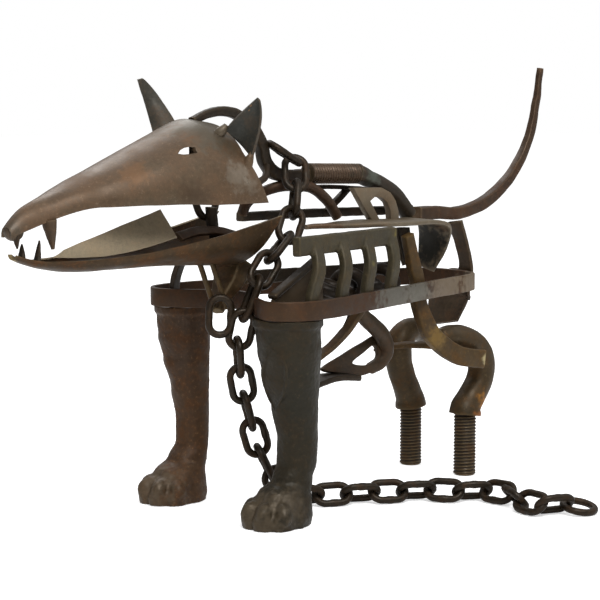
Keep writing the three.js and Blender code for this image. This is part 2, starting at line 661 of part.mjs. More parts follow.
function ribGrate(grow) {
  const bars = Array.from({ length: ribCount }, (_, i) => {
    const share = i / (ribCount - 1);
    const x = mix(grateFront[0], grateRear[0], share);
    const y = mix(grateFront[1], grateRear[1], share);
    const footX = x - mix(10, 1.4, share);
    const footY = -(hoopWidthAt(footX) - hoopThick / 2 - grateThick / 2 - gap);
    return flatBar([
      [x, y, grateTop - 4], [mix(x, footX, 0.4), mix(y, footY, 0.5) - ribBulge, grateTop - 21],
      [footX, footY, hoopTop + 2], [footX, footY, hoopBottom + 3],
    ], ribWidth, grateThick, { steps: 6, across: v3(1, 0.15, 0), grow });
  });
  const slope = (grateRear[1] - grateFront[1]) / (grateRear[0] - grateFront[0]);
  const barEnd = (x) => [x, grateFront[1] + slope * (x - grateFront[0]), grateTop - grateBarTall / 2];
  const top = flatBar(
    [barEnd(grateFront[0] - 20), barEnd(grateRear[0] + ribWidth / 2)], grateThick + 0.4, grateBarTall,
    { steps: 3, grow },
  );
  return joined([top, ...bars]);
}
addPiece('rib_grate', 'greyOlive', ribGrate);

// The shoulder: a dark triangular plate with a thick upper edge
const shoulderFoot = [-112, hoopTop + gap];
const shoulderHead = [-68, grateTop - 17];
function shoulderPlate(grow) {
  const outline = [
    shoulderFoot, [shoulderHead[0] + 6, shoulderFoot[1]], [shoulderHead[0] + 6, shoulderHead[1] + 2], shoulderHead,
  ];
  const web = uprightPlate(outline, 0, 2.4, { grow });
  const edge = flatBar(
    [[shoulderFoot[0], 0, shoulderFoot[1] + 2], [shoulderHead[0], 0, shoulderHead[1]]], 7, 3.4, { steps: 2, grow },
  );
  const both = joined([web, edge]);
  return both.rotate([0, 0, 8]).translate([8, -38, 0]);
}
addPiece('shoulder_plate', 'darkIron', shoulderPlate);

// On the side of the spine: a bracket with one slanted and one upright leg
const saddleOutline = [
  // x, and height as a share of the way from the foot up to the spine
  [10, 1], [37, 0.97], [45.5, 0.83], [50.5, 0.62], [53.5, 0.34], [54.5, 0], [46.5, 0], [45.5, 0.38],
  [42.5, 0.58], [37, 0.72], [30, 0.74], [26, 0.64], [38, 0], [31, 0], [20, 0.5],
];
function saddleBracket(grow) {
  const outline = saddleOutline.map(([x, share]) => [x, mix(plateTop - 5, spineBase - 2.6, share)]);
  return uprightPlate(outline, -spineRadius - 2.8, 5, { grow });
}
addPiece('saddle_bracket', 'tanIron', saddleBracket);
// Beyond the spine
addPiece('far_bracket', 'darkIron', (grow) => joined([
  flatBar(
    [[-5, 14, spineBase - 2.6], [14, 14, spineBase - 3], [34, 13, spineBase - 4.6], [56, 7, spineBase - 7.6]],
    6, 3, { steps: 6, grow },
  ),
  flatBar([[30, 13.5, spineBase - 5], [22, 15, spineBase - 12], [14, 17, plateTop + 4.5]], 5, 4, { steps: 4, grow }),
]));
addPiece('far_rail', 'darkIron', (grow) => flatBar(
  [[-60, 24, plateTop + 4], [-10, 22.5, plateTop + 3.5], [40, 16, plateTop + 3], [88, 9, plateTop + 2.5]],
  6, 6, { steps: 8, grow },
));
addPiece('shoulder_arch', 'brownRust', (grow) => roundBar(
  [[-2, -9, plateTop + 2.5], [-10, -8, mix(plateTop, spineHeight, 0.43)], [-22, -5, spineHeight - 8.5],
    [-35, -2, spineHeight - 6.6], [-46, 3, spineHeight - 7.4], [-54, 11, spineHeight - 11.5],
    [-58, 19, mix(plateTop, spineHeight, 0.42)], [-58, 23, plateTop + 6]],
  archRadius, { steps: 10, sides: 7, grow },
));

// Behind: the plate round the end of the hoop and the dark point below the curl
const rumpX = hoopRear + hoopThick + 1.8;
const rumpRoute = [
  [119, -5, plateTop - 7], [124, -7, 162], [rumpX, -9, hoopTop], [rumpX, -1, hoopBottom + 1],
  [122.5, 2, 124], [117.5, 0, 114], [114, -2, 105],
];
const rumpWidths = [14, 12, 12, 13, 40, 34, 21];
addPiece('rump_strap', 'darkIron', (grow) => flatBar(
  rumpRoute, (t) => readAt(rumpWidths, t), 3, { steps: 12, grow },
));
function hipSurface(u, v) {
  const turn = Math.sin(Math.PI * v);
  const halfWide = mix(7, 5, u ** 2);
  const x = mix(60, 66, u) + (v - 0.5) * 2 * halfWide;
  return v3(x, -10 + 5 * turn * (1 - 0.5 * u), mix(plateTop - 8, 150, u));
}
addPiece('hip_plate', 'darkIron', (grow) => curvedPlate(hipSurface, 4, 4, 2, grow));

// The near thigh: a curved flat bar from the back plate, inside the hoop, to the side of the hook
const thighThick = 6.4;
const thighSide = -(rearSpread + hookRadius * 1.04 + gap + thighThick / 2);
const thighRoute = [
  [37, -36, plateTop - 10], [42, -36, 157], [46.5, -36, 143], [48.5, -36.5, 127], [51, thighSide, 115],
  [60, thighSide, 103.5], [71, thighSide, 95.5], [84, thighSide, 89], [97, thighSide, 85.5],
  [110, thighSide, 83.5],
];
addPiece('near_thigh_bar', 'greyOlive', (grow) => flatBar(
  thighRoute, thighThick, (t) => mix(8, 12.5, Math.min(1, t * 2)), { steps: 16, grow },
));
addPiece('rear_cross_bar', 'tanIron', (grow) => flatBar(
  [[47, 3, 91.2], [60, 1, 93], [80, -8, 93], [96, -18, 91]], (t) => mix(4, 14, Math.min(1, t * 2)),
  (t) => mix(2, 5, t), { steps: 6, grow },
));

// Under the skull
addPiece('jaw_link', 'darkIron', (grow) => roundBar(
  [[-117, 4, crownHeight - 9], [-117.5, 3, skullRim + 13], [-117, 1, skullRim - 2], [-113, 0, skullRim - 9.5],
    [-106, 0, skullRim - 10.5], [-101, 1, skullRim - 4], [-97, 3, skullRim + 10], [-93, 6, skullRim + 24]],
  2.3, { steps: 13, sides: 6, grow },
));
addPiece('jaw_knob', 'darkIron', (grow) => roundBar(
  [[-108.5, -4, skullRim - 4], [-108.5, -4, mouthAt(0.6)], [-107.5, -6, mouthAt(0.2)], [-106, -3, jawKeel + 3.7]],
  (t) => mix(4, 3, t), { steps: 5, sides: 7, grow },
));
addPiece('throat_wedge', 'brownRust', (grow) => flatBar(
  [[-87, 0, jawKeel - 0.3], [-92, -2, jawKeel - 10], [-99, -3, hoopTop - 0.5], [-105, -4, hoopBottom + 1.5]],
  (t) => mix(26, 9, t), (t) => mix(14, 6, t), { steps: 5, grow },
));
for (const [index, offset] of [[1, 0], [2, 5.5]]) {
  addPiece(`throat_rod_${index}`, 'tanIron', (grow) => roundBar(
    [[-118 + offset, -3 - offset, jawKeel + 2.7], [-114 + offset, -5 - offset, hoopTop + 7.5],
      [-109 + offset, -7 - offset, hoopBottom + 3.5]],
    1.7, { steps: 3, sides: 6, across: v3(1, 0, 0), grow },
  ));
}
addPiece('far_post', 'darkIron', (grow) => flatBar(
  [[-98, 46, hoopBottom + 1], [-97, 44.5, hoopTop + 7.5], [-96, 34, jawRim - 4], [-96, 26.5, jawRim + 7]],
  10, 3.4, { steps: 5, across: v3(1, 0.4, 0), grow },
));

// Hung below the hoop
addPiece('belly_hook', 'brownRust', (grow) => roundBar(
  [[8, -16, hoopBottom - 1], [18, -14, 119], [30, -12, 111], [41, -10, 102.5], [45.5, -9, 93], [41, -8, 85],
    [31, -8, 81.5]],
  (t) => mix(4.2, 5.6, Math.sin(Math.PI * t)), { steps: 10, sides: 7, grow },
));
addPiece('belly_plate', 'darkIron', (grow) => flatBar(
  [[-3, -30, hoopBottom + 2], [-7, -28, 122], [-13, -26, 113]], (t) => mix(26, 5, t), 3,
  { steps: 3, across: v3(1, 0.3, 0.2), grow },
));
addPiece('belly_bar', 'brownRust', (grow) => flatBar(
  [[-8, -40, hoopBottom + 2], [-17, -36, 118], [-29, -31, 105], [-37, -26, 98]], 8, 3.4, { steps: 5, grow },
));
const smoothOutline = (points, count) => curveThrough(points.map(([x, z]) => [x, 0, z]), true)
  .getPoints(count).slice(0, -1).map((p) => [p.x, p.z]);
function bellyLink(grow) {
  const outer = smoothOutline([[-14, -1], [8, 7], [28, 13], [48, 17], [52, 7], [42, -4], [24, -9], [4, -6]], 20);
  const hole = smoothOutline([[14, 0], [26, 5.5], [40, 10], [40, 3], [28, -2.5]], 12);
  return uprightPlate(outer, 0, 3.4, { hole, grow }).rotateX(-0.35).translate(-3, -9, 87);
}
addPiece('belly_link', 'greyOlive', bellyLink);
addPiece('belly_spoon', 'darkIron', (grow) => flatBar(
  [[-42, -16, 74], [-26, -14, 79], [-8, -13, 80.5], [9, -14, 78.5]],
  (t) => mix(10, 18, Math.sin(Math.PI * t * 0.8)), 4, { steps: 7, grow },
));

// A long flat bar inside the body, on the far side
addPiece('inner_side_bar', 'darkIron', (grow) => flatBar(
  [[-56, 22, hoopTop + 5.5], [10, 20, hoopTop + 4], [84, 20, hoopTop + 2.5]], 3, 9, { steps: 4, grow },
));

// Heavy links that lie inside the body
const innerSpots = [
  // middle of each link and its turn about the upright
  [-14, -14, 0.5], [6, -12, 2.2], [24, -9, 0.3], [42, -8, 1.9],
];
function innerLinks(grow) {
  const rings = innerSpots.map(([x, y, turn], i) => {
    const ring = new THREE.TorusGeometry(9.5, 4 + grow, 5, 7);
    ring.rotateX(i % 2 ? 1.25 : 0.35).rotateZ(turn);
    return ring.translate(x, y, hoopTop - 2);
  });
  const rod = roundBar(
    [[-32, -14, hoopBottom + 6], [10, -12, hoopBottom + 5], [54, -8, hoopBottom + 6]], 3.2,
    { steps: 3, sides: 6, grow },
  );
  return joined([rod, ...rings]);
}
addPiece('inner_links', 'darkIron', innerLinks);

// Assembly, with the origin on the floor under the middle of the box
const dog = new THREE.Group();
for (const { name, finish, solid } of pieces) {
  const [color, roughness, metalness] = finishes[finish];
  const mesh = new THREE.Mesh(toGeometry(solid), new THREE.MeshStandardMaterial({ color, roughness, metalness }));
  mesh.name = name;
  dog.add(mesh);
}
const box = new THREE.Box3().setFromObject(dog);
const centre = box.getCenter(v3());
dog.children.forEach((mesh) => mesh.position.set(-centre.x, -centre.y, -box.min.z));

export default dog;
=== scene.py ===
import bpy
import math
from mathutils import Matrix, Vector, geometry, noise


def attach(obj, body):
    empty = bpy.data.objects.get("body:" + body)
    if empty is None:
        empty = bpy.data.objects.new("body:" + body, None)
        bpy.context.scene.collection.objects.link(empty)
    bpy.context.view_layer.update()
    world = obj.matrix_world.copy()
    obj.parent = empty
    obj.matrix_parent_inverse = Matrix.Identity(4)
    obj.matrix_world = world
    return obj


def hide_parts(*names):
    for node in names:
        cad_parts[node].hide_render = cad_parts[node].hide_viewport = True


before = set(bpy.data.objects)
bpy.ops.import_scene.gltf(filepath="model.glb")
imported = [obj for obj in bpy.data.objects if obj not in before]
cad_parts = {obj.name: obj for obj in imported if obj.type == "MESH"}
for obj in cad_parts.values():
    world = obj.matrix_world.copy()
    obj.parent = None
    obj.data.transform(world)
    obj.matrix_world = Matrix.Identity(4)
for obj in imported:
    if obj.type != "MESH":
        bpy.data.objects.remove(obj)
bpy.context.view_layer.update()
print("frame loaded:", len(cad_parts), "solids")

# All sizes are in millimetres, in the dog's own drawing: nose to -X, left side to -Y, floor at 0
drawingShift = Vector((21.769, 50.568, 0))   # from the drawing's origin to the frame's
millimetre = 0.001
sideAxis = Vector((0, 1, 0))
upAxis = Vector((0, 0, 1))
made = []
noise.seed_set(1)   # the dents come out the same each run


def vec(p):
    return Vector(p)


def lerp(a, b, t):
    return a + (b - a) * t


def clamp(x, low=0.0, high=1.0):
    return max(low, min(high, x))


def steps(values, t):
    place = clamp(t) * (len(values) - 1)
    low = min(int(place), len(values) - 2)
    return lerp(values[low], values[low + 1], place - low)


def smooth(values, t):
    place = clamp(t) * (len(values) - 1)
    low = min(int(place), len(values) - 2)
    k = place - low
    k = k * k * (3 - 2 * k)
    return lerp(values[low], values[low + 1], k)


def turnedX(p, angle):
    c, s = math.cos(angle), math.sin(angle)
    return Vector((p.x, p.y * c - p.z * s, p.y * s + p.z * c))


def turnedZ(p, angle):
    c, s = math.cos(angle), math.sin(angle)
    return Vector((p.x * c - p.y * s, p.x * s + p.y * c, p.z))


# shapes

def splinePoints(points, count, closed=False):
    # centripetal spline through the points, resampled to even steps
    pts = [vec(p) for p in points]
    n = len(pts)
    dense = []
    spans = n if closed else n - 1
    for i in range(spans):
        p1, p2 = pts[i], pts[(i + 1) % n]
        p0 = pts[i - 1] if closed or i > 0 else p1 * 2 - p2
        p3 = pts[(i + 2) % n] if closed or i + 2 < n else p2 * 2 - p1
        d0 = max((p1 - p0).length ** 0.5, 1e-4)
        d1 = max((p2 - p1).length ** 0.5, 1e-4)
        d2 = max((p3 - p2).length ** 0.5, 1e-4)
        t1 = ((p1 - p0) / d0 - (p2 - p0) / (d0 + d1) + (p2 - p1) / d1) * d1
        t2 = ((p2 - p1) / d1 - (p3 - p1) / (d1 + d2) + (p3 - p2) / d2) * d1
        for k in range(24):
            t = k / 24
            c2 = -3 * p1 + 3 * p2 - 2 * t1 - t2
            c3 = 2 * p1 - 2 * p2 + t1 + t2
            dense.append(p1 + t1 * t + c2 * t * t + c3 * t * t * t)
    dense.append(pts[0].copy() if closed else pts[-1].copy())
    lengths = [0.0]
    for a, b in zip(dense, dense[1:]):
        lengths.append(lengths[-1] + (b - a).length)
    total = lengths[-1]
    out = []
    j = 0
    stations = count if closed else count + 1
    for i in range(stations):
        want = total * i / count
        while j < len(lengths) - 2 and lengths[j + 1] < want:
            j += 1
        span = max(lengths[j + 1] - lengths[j], 1e-9)
        out.append(dense[j].lerp(dense[j + 1], clamp((want - lengths[j]) / span)))
    return out


def loftFaces(stations, sides, closed):
    faces = []
    last = stations if closed else stations - 1
    for i in range(last):
        nxt = (i + 1) % stations
        for j in range(sides):
            k = (j + 1) % sides
            faces.append((i * sides + j, i * sides + k, nxt * sides + k, nxt * sides + j))
    if not closed:
        faces.append(tuple(reversed(range(sides))))
        faces.append(tuple(range((stations - 1) * sides, stations * sides)))
    return faces


def roundSection(radius, sides):
    return [(radius * math.cos(a),
             radius * math.sin(a)) for a in (2 * math.pi * i / sides for i in range(sides))]


def barSection(wide, thick, corner, per=3):
    # rectangle with rounded corners
    corner = min(corner, wide * 0.49, thick * 0.49)
    out = []
    for cx, cy, start in ((1, 1, 0), (-1, 1, 90), (-1, -1, 180), (1, -1, 270)):
        for k in range(per + 1):
            a = math.radians(start + 90 * k / per)
            out.append((cx * (wide / 2 - corner) + corner * math.cos(a),
                        cy * (thick / 2 - corner) + corner * math.sin(a)))
    return out


def sweepMesh(points, section, count, across=sideAxis, closed=False):
    line = splinePoints(points, count, closed)
    n = len(line)
    verts = []
    for i, centre in enumerate(line):
        ahead = line[(i + 1) % n] if closed else line[min(i + 1, n - 1)]
        behind = line[i - 1] if closed or i > 0 else line[0]
        tangent = (ahead - behind).normalized()
        wide = (across - tangent * tangent.dot(across)).normalized()
        thick = tangent.cross(wide)
        ring = section(i / count) if callable(section) else section
        verts += [centre + wide * a + thick * b for a, b in ring]
    return verts, loftFaces(n, len(ring), closed)


def plateMesh(surface, columns, rows, thick):
    e = 1e-3   # step for the surface directions
    verts, faces = [], []
    for side in (1, -1):
        for i in range(columns + 1):
            for j in range(rows + 1):
                u, v = i / columns, j / rows
                du = surface(min(u + e, 1), v) - surface(max(u - e, 0), v)
                dv = surface(u, min(v + e, 1)) - surface(u, max(v - e, 0))
                normal = du.cross(dv).normalized()
                verts.append(surface(u, v) + normal * (side * thick / 2))
    w = rows + 1
    under = (columns + 1) * w
    for i in range(columns):
        for j in range(rows):
            a = i * w + j
            faces.append((a, a + w, a + w + 1, a + 1))
            faces.append((under + a, under + a + 1, under + a + w + 1, under + a + w))
    for i in range(columns):
        a, b = i * w, i * w + rows
        faces.append((a, under + a, under + a + w, a + w))
        faces.append((b, b + w, under + b + w, under + b))
    for j in range(rows):
        a, b = j, columns * w + j
        faces.append((a, a + 1, under + a + 1, under + a))
        faces.append((b, under + b, under + b + 1, b + 1))
    return verts, faces


def latheMesh(profile, centre, sides):
    verts = []
    for radius, z in profile:
        for i in range(sides):
            a = 2 * math.pi * i / sides
            verts.append(Vector((centre[0] + radius * math.cos(a), centre[1] + radius * math.sin(a), z)))
    return verts, loftFaces(len(profile), sides, False)


def threadMesh(start, direction, length, radius, pitch, depth, sides=40, perTurn=7, ends=(0.0, 0.0)):
    # a helical thread along a straight line, faded out over ends
    axis = vec(direction).normalized()
    side = axis.orthogonal().normalized()
    other = axis.cross(side)
    rows = int(length / pitch * perTurn)
    verts = []
    for i in range(rows + 1):
        s = length * i / rows
        fade = min(1, s / max(ends[0], 0.01), (length - s) / max(ends[1], 0.01))
        for j in range(sides):
            a = 2 * math.pi * j / sides
            wave = (s / pitch - j / sides) % 1.0
            ridge = abs(wave * 2 - 1)
            ridge = clamp((ridge - 0.12) / 0.76)
            worn = 0.75 + 0.25 * noise.noise(Vector((math.cos(a), math.sin(a), s * 0.35)))
            r = radius - depth * (1 - ridge) * fade * worn
            verts.append(vec(start) + axis * s + side * (r * math.cos(a)) + other * (r * math.sin(a)))
    return verts, loftFaces(rows + 1, sides, False)


def joinMeshes(parts):
    verts, faces = [], []
    for partVerts, partFaces in parts:
        base = len(verts)
        verts += partVerts
        faces += [tuple(base + i for i in face) for face in partFaces]
    return verts, faces


def ellipsoid(centre, radii, turn=0.0, rings=14, sides=20):
    verts, faces = [], []
    for i in range(rings + 1):
        phi = math.pi * i / rings
        for j in range(sides):
            a = 2 * math.pi * j / sides
            p = Vector((radii[0] * math.sin(phi) * math.cos(a), radii[1] * math.sin(phi) * math.sin(a),
                        radii[2] * math.cos(phi)))
            verts.append(vec(centre) + turnedZ(p, turn))
    return verts, loftFaces(rings + 1, sides, False)


# pieces

def newObject(name, places, faces):
    mesh = bpy.data.meshes.new(name)
    mesh.from_pydata(places, [], faces)
    mesh.update()
    obj = bpy.data.objects.new(name, mesh)
    bpy.context.scene.collection.objects.link(obj)
    return obj


def inFrame(p):
    return (vec(p) + drawingShift) * millimetre


def dented(p, depth, size, seed):
    # broad dents with finer ones on them, and nothing below the floor
    broad = noise.noise_vector(p * size + Vector((seed * 7.3, 0, 0)))
    finer = noise.noise_vector(p * size * 3.1 + Vector((0, seed * 3.1, 0)))
    p = p + broad * depth + finer * depth * 0.35
    p.z = max(p.z, 0.0)
    return p


def addPiece(name, shape, iron, slot, nodes=(), bevel=0.0, dents=0.0, dentSize=0.12, cutters=(), flatAngle=40,
             seed=1):
    verts, faces = shape
    if dents:
        verts = [dented(vec(p), dents, dentSize, seed) for p in verts]
    obj = newObject(name, [inFrame(p) for p in verts], faces)
    for index, cutter in enumerate(cutters):
        tool = newObject(f"{name}Cutter{index}", [inFrame(p) for p in cutter[0]], cutter[1])
        cut = obj.modifiers.new("cut", "BOOLEAN")
        cut.operation = "DIFFERENCE"
        cut.object = tool
        applyModifiers(obj)
        bpy.data.objects.remove(tool)
    if bevel:
        soften = obj.modifiers.new("soften", "BEVEL")
        soften.width = bevel * millimetre
        soften.segments = 2
        soften.limit_method = "ANGLE"
        soften.angle_limit = math.radians(50)
        applyModifiers(obj)
    obj.data.shade_smooth()
    obj.data.set_sharp_from_angle(angle=math.radians(flatAngle))
    obj.data.materials.clear()
    obj.data.materials.append(irons[iron])
    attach(obj, "root")
    if nodes:
        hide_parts(*nodes)
    made.append(obj)
    return obj


def addSwept(name, points, section, count, iron, slot, nodes, across=sideAxis, closed=False, **finish):
    addPiece(name, sweepMesh(points, section, count, across, closed), iron, slot, nodes, **finish)


def applyModifiers(obj):
    bpy.context.view_layer.update()
    graph = bpy.context.evaluated_depsgraph_get()
    baked = bpy.data.meshes.new_from_object(obj.evaluated_get(graph))
    obj.modifiers.clear()
    old = obj.data
    obj.data = baked
    bpy.data.meshes.remove(old)


# shader nodes, and groups shared by the irons

def feed(tree, socket, value):
    # an output is linked to the socket, anything else is set on it
    if isinstance(value, bpy.types.NodeSocket):
        tree.links.new(value, socket)
    else:
        socket.default_value = value


def addNode(tree, kind, output, inputs, **settings):
    node = tree.nodes.new(kind)
    for name, value in settings.items():
        setattr(node, name, value)
    for key, value in inputs.items():
        feed(tree, node.inputs[key], value)
    return node.outputs[output]


def calc(tree, operation, *values):
    return addNode(tree, "ShaderNodeMath", 0, dict(enumerate(values)), operation=operation)


def mapRange(tree, value, span, target=(0.0, 1.0), curve="LINEAR"):
    inputs = {"Value": value, "From Min": span[0], "From Max": span[1], "To Min": target[0],
              "To Max": target[1]}
    return addNode(tree, "ShaderNodeMapRange", "Result", inputs, interpolation_type=curve)


def mixColours(tree, amount, a, b, mode="MIX"):
    return addNode(tree, "ShaderNodeMix", 2, {"Factor": amount, 6: a, 7: b}, data_type="RGBA",
                   blend_type=mode)


def noiseAt(tree, place, scale, detail, rough=0.5):
    inputs = {"Vector": place, "Scale": scale, "Detail": detail, "Roughness": rough}
    return addNode(tree, "ShaderNodeTexNoise", "Fac", inputs)


def newGroup(name, inputs, outputs):
    # one number makes a value socket, three a vector, four a colour
    kinds = {1: "NodeSocketFloat", 3: "NodeSocketVector", 4: "NodeSocketColor"}
    group = bpy.data.node_groups.new(name, "ShaderNodeTree")
    for title, value in inputs.items():
        kind = kinds[len(value) if isinstance(value, tuple) else 1]
        group.interface.new_socket(name=title, in_out="INPUT", socket_type=kind).default_value = value
    for title, count in outputs.items():
        group.interface.new_socket(name=title, in_out="OUTPUT", socket_type=kinds[count])
    given = group.nodes.new("NodeGroupInput").outputs
    result = group.nodes.new("NodeGroupOutput").inputs
    return group, given, result


def makePatinaGroup():
    # mottled iron: a main colour, a second colour in clouds, rust in spots, and pale specks that are partly
    # dust and partly painted glints
    group, given, result = newGroup("patina", {
        "main": (0.1, 0.08, 0.06, 1), "second": (0.15, 0.13, 0.11, 1),
        "rust": (0.2, 0.07, 0.02, 1), "pale": (0.4, 0.36, 0.3, 1),
        "second amount": 0.5, "rust amount": 0.3, "pale amount": 0.2, "cloud size": 18.0, "gloss": 0.5,
    }, {"color": 4, "roughness": 1, "height": 1})
    place = addNode(group, "ShaderNodeTexCoord", "Object", {})
    middleScale, fineScale, gritScale = 3.6, 420, 1500   # the first is a share of the cloud size
    darkest, lightest = 0.62, 1.3
    dullest, glossShare = 0.78, -0.55

    def cloud(scale, detail, rough, shift):
        moved = addNode(group, "ShaderNodeMapping", "Vector", {"Vector": place, "Location": shift})
        return noiseAt(group, moved, scale, detail, rough)

    def spread(value, low, high):
        return mapRange(group, value, (low, high), curve="SMOOTHSTEP")

    def times(a, b):
        return calc(group, "MULTIPLY", a, b)

    def plus(a, b):
        return calc(group, "ADD", a, b)

    big = cloud(given["cloud size"], 5, 0.62, (0, 0, 0))
    middle = cloud(times(given["cloud size"], middleScale), 6, 0.6, (1.7, 0.3, 0.9))
    fine = cloud(fineScale, 4, 0.55, (0.2, 2.1, 0.4))
    grit = cloud(gritScale, 3, 0.6, (3.1, 0.2, 1.4))
    secondMask = times(spread(big, 0.42, 0.62), given["second amount"])
    rustMask = times(spread(plus(times(middle, 0.65), times(fine, 0.35)), 0.46, 0.62), given["rust amount"])
    # pale specks: dust, and painted glints of light
    dustAndGlintMask = times(spread(plus(times(fine, 0.6), times(grit, 0.4)), 0.55, 0.72), given["pale amount"])
    colour = mixColours(group, secondMask, given["main"], given["second"])
    colour = mixColours(group, rustMask, colour, given["rust"])
    colour = mixColours(group, dustAndGlintMask, colour, given["pale"])
    # darker in the pits, lighter on the grain
    grain = plus(times(middle, 0.35), plus(times(fine, 0.4), times(grit, 0.25)))
    tone = mapRange(group, grain, (0.3, 0.7), (darkest, lightest))
    toned = addNode(group, "ShaderNodeVectorMath", "Vector", {0: colour, "Scale": tone}, operation="SCALE")
    rough = plus(plus(times(given["gloss"], glossShare), dullest), times(plus(middle, -0.5), 0.5))
    feed(group, result["color"], toned)
    feed(group, result["roughness"], plus(rough, times(rustMask, 0.3)))
    feed(group, result["height"], plus(plus(times(middle, 0.8), times(fine, 0.35)), times(grit, 0.12)))
    return group


def makeEdgeGroup():
    # bare worn metal on edges and ridges, and darker in the hollows
    group, given, result = newGroup("edgeWear", {
        "color": (0.1, 0.1, 0.1, 1), "edge color": (0.35, 0.31, 0.26, 1), "amount": 0.6,
    }, {"color out": 4})
    ridgeSpan, hollowSpan, hollowDarkening, hollowTint = (0.52, 0.62), (0.49, 0.42), 0.55, (0.25, 0.2, 0.16, 1)
    shape = addNode(group, "ShaderNodeNewGeometry", "Pointiness", {})
    worn = calc(group, "MULTIPLY", mapRange(group, shape, ridgeSpan), given["amount"])
    # darker where the surface is hollow, by how hollow it is
    hollowed = calc(group, "MULTIPLY", mapRange(group, shape, hollowSpan), hollowDarkening)
    colour = mixColours(group, worn, given["color"], given["edge color"])
    feed(group, result["color out"], mixColours(group, hollowed, colour, hollowTint, "MULTIPLY"))
    return group


def makeSpotGroup():
    # a soft patch round one place, broken up by noise
    group, given, result = newGroup("spot", {"centre": (0, 0, 0), "radius": 0.01, "strength": 1.0},
                                    {"mask": 1})
    grainScale, grainDetail, ragged, outer, inner = 240, 5, 1.5, 1.75, 1.05
    place = addNode(group, "ShaderNodeTexCoord", "Object", {})
    away = addNode(group, "ShaderNodeVectorMath", "Value", {0: place, 1: given["centre"]},
                   operation="DISTANCE")
    share = calc(group, "DIVIDE", away, given["radius"])
    rough = calc(group, "MULTIPLY_ADD", noiseAt(group, place, grainScale, grainDetail), ragged, share)
    fall = mapRange(group, rough, (outer, inner), curve="SMOOTHSTEP")
    feed(group, result["mask"], calc(group, "MULTIPLY", fall, given["strength"]))
    return group


patinaGroup = makePatinaGroup()
edgeGroup = makeEdgeGroup()
spotGroup = makeSpotGroup()


def srgb(colour, shade=1.0):
    def line(c):
        c /= 255
        return shade * (c / 12.92 if c <= 0.04045 else ((c + 0.055) / 1.055) ** 2.4)
    return (line(colour[0]), line(colour[1]), line(colour[2]), 1)


# what an iron has where its own look says nothing else
plainLook = {
    "secondAmount": 0.8, "rustAmount": 0.4, "paleAmount": 0.2, "cloudSize": 20.0, "gloss": 0.5,
    "edgeAmount": 0.7,
    "metal": 0.4, "bump": 0.4, "bumpDepth": 0.0006, "specular": 0.38, "shade": 0.62, "edgeShade": 0.9,
    "spots": (),
}


def makeIron(name, ownLook):
    # one iron finish, with patches at given places: colour, place, radius, strength, shine
    look = plainLook | ownLook
    material = bpy.data.materials.new(name)
    material.use_nodes = True
    tree = material.node_tree
    shader = tree.nodes["Principled BSDF"]

    def groupNode(group, inputs):
        node = tree.nodes.new("ShaderNodeGroup")
        node.node_tree = group
        for key, value in inputs.items():
            feed(tree, node.inputs[key], value)
        return node.outputs

    inputs = {key: srgb(look[key], look["shade"]) for key in ("main", "second", "rust", "pale")}
    inputs |= {f"{key} amount": look[f"{key}Amount"] for key in ("second", "rust", "pale")}
    patina = groupNode(patinaGroup, inputs | {"cloud size": look["cloudSize"], "gloss": look["gloss"]})
    colour, roughness = patina["color"], patina["roughness"]
    for spotColour, centre, radius, strength, shine in look["spots"]:
        inputs = {"centre": inFrame(centre), "radius": radius * millimetre, "strength": strength}
        mask = groupNode(spotGroup, inputs)["mask"]
        colour = mixColours(tree, mask, colour, srgb(spotColour, look["shade"]))
        if shine:
            roughness = calc(tree, "MULTIPLY_ADD", mask, -shine, roughness)
    inputs = {"color": colour, "edge color": srgb(look["edge"], look["edgeShade"]),
              "amount": look["edgeAmount"]}
    inputs = {"Base Color": groupNode(edgeGroup, inputs)["color out"], "Roughness": roughness,
              "Metallic": look["metal"], "Specular IOR Level": look["specular"]}
    bumps = {"Strength": look["bump"], "Distance": look["bumpDepth"], "Height": patina["height"]}
    inputs["Normal"] = addNode(tree, "ShaderNodeBump", "Normal", bumps)
    for key, value in inputs.items():
        feed(tree, shader.inputs[key], value)
    return material


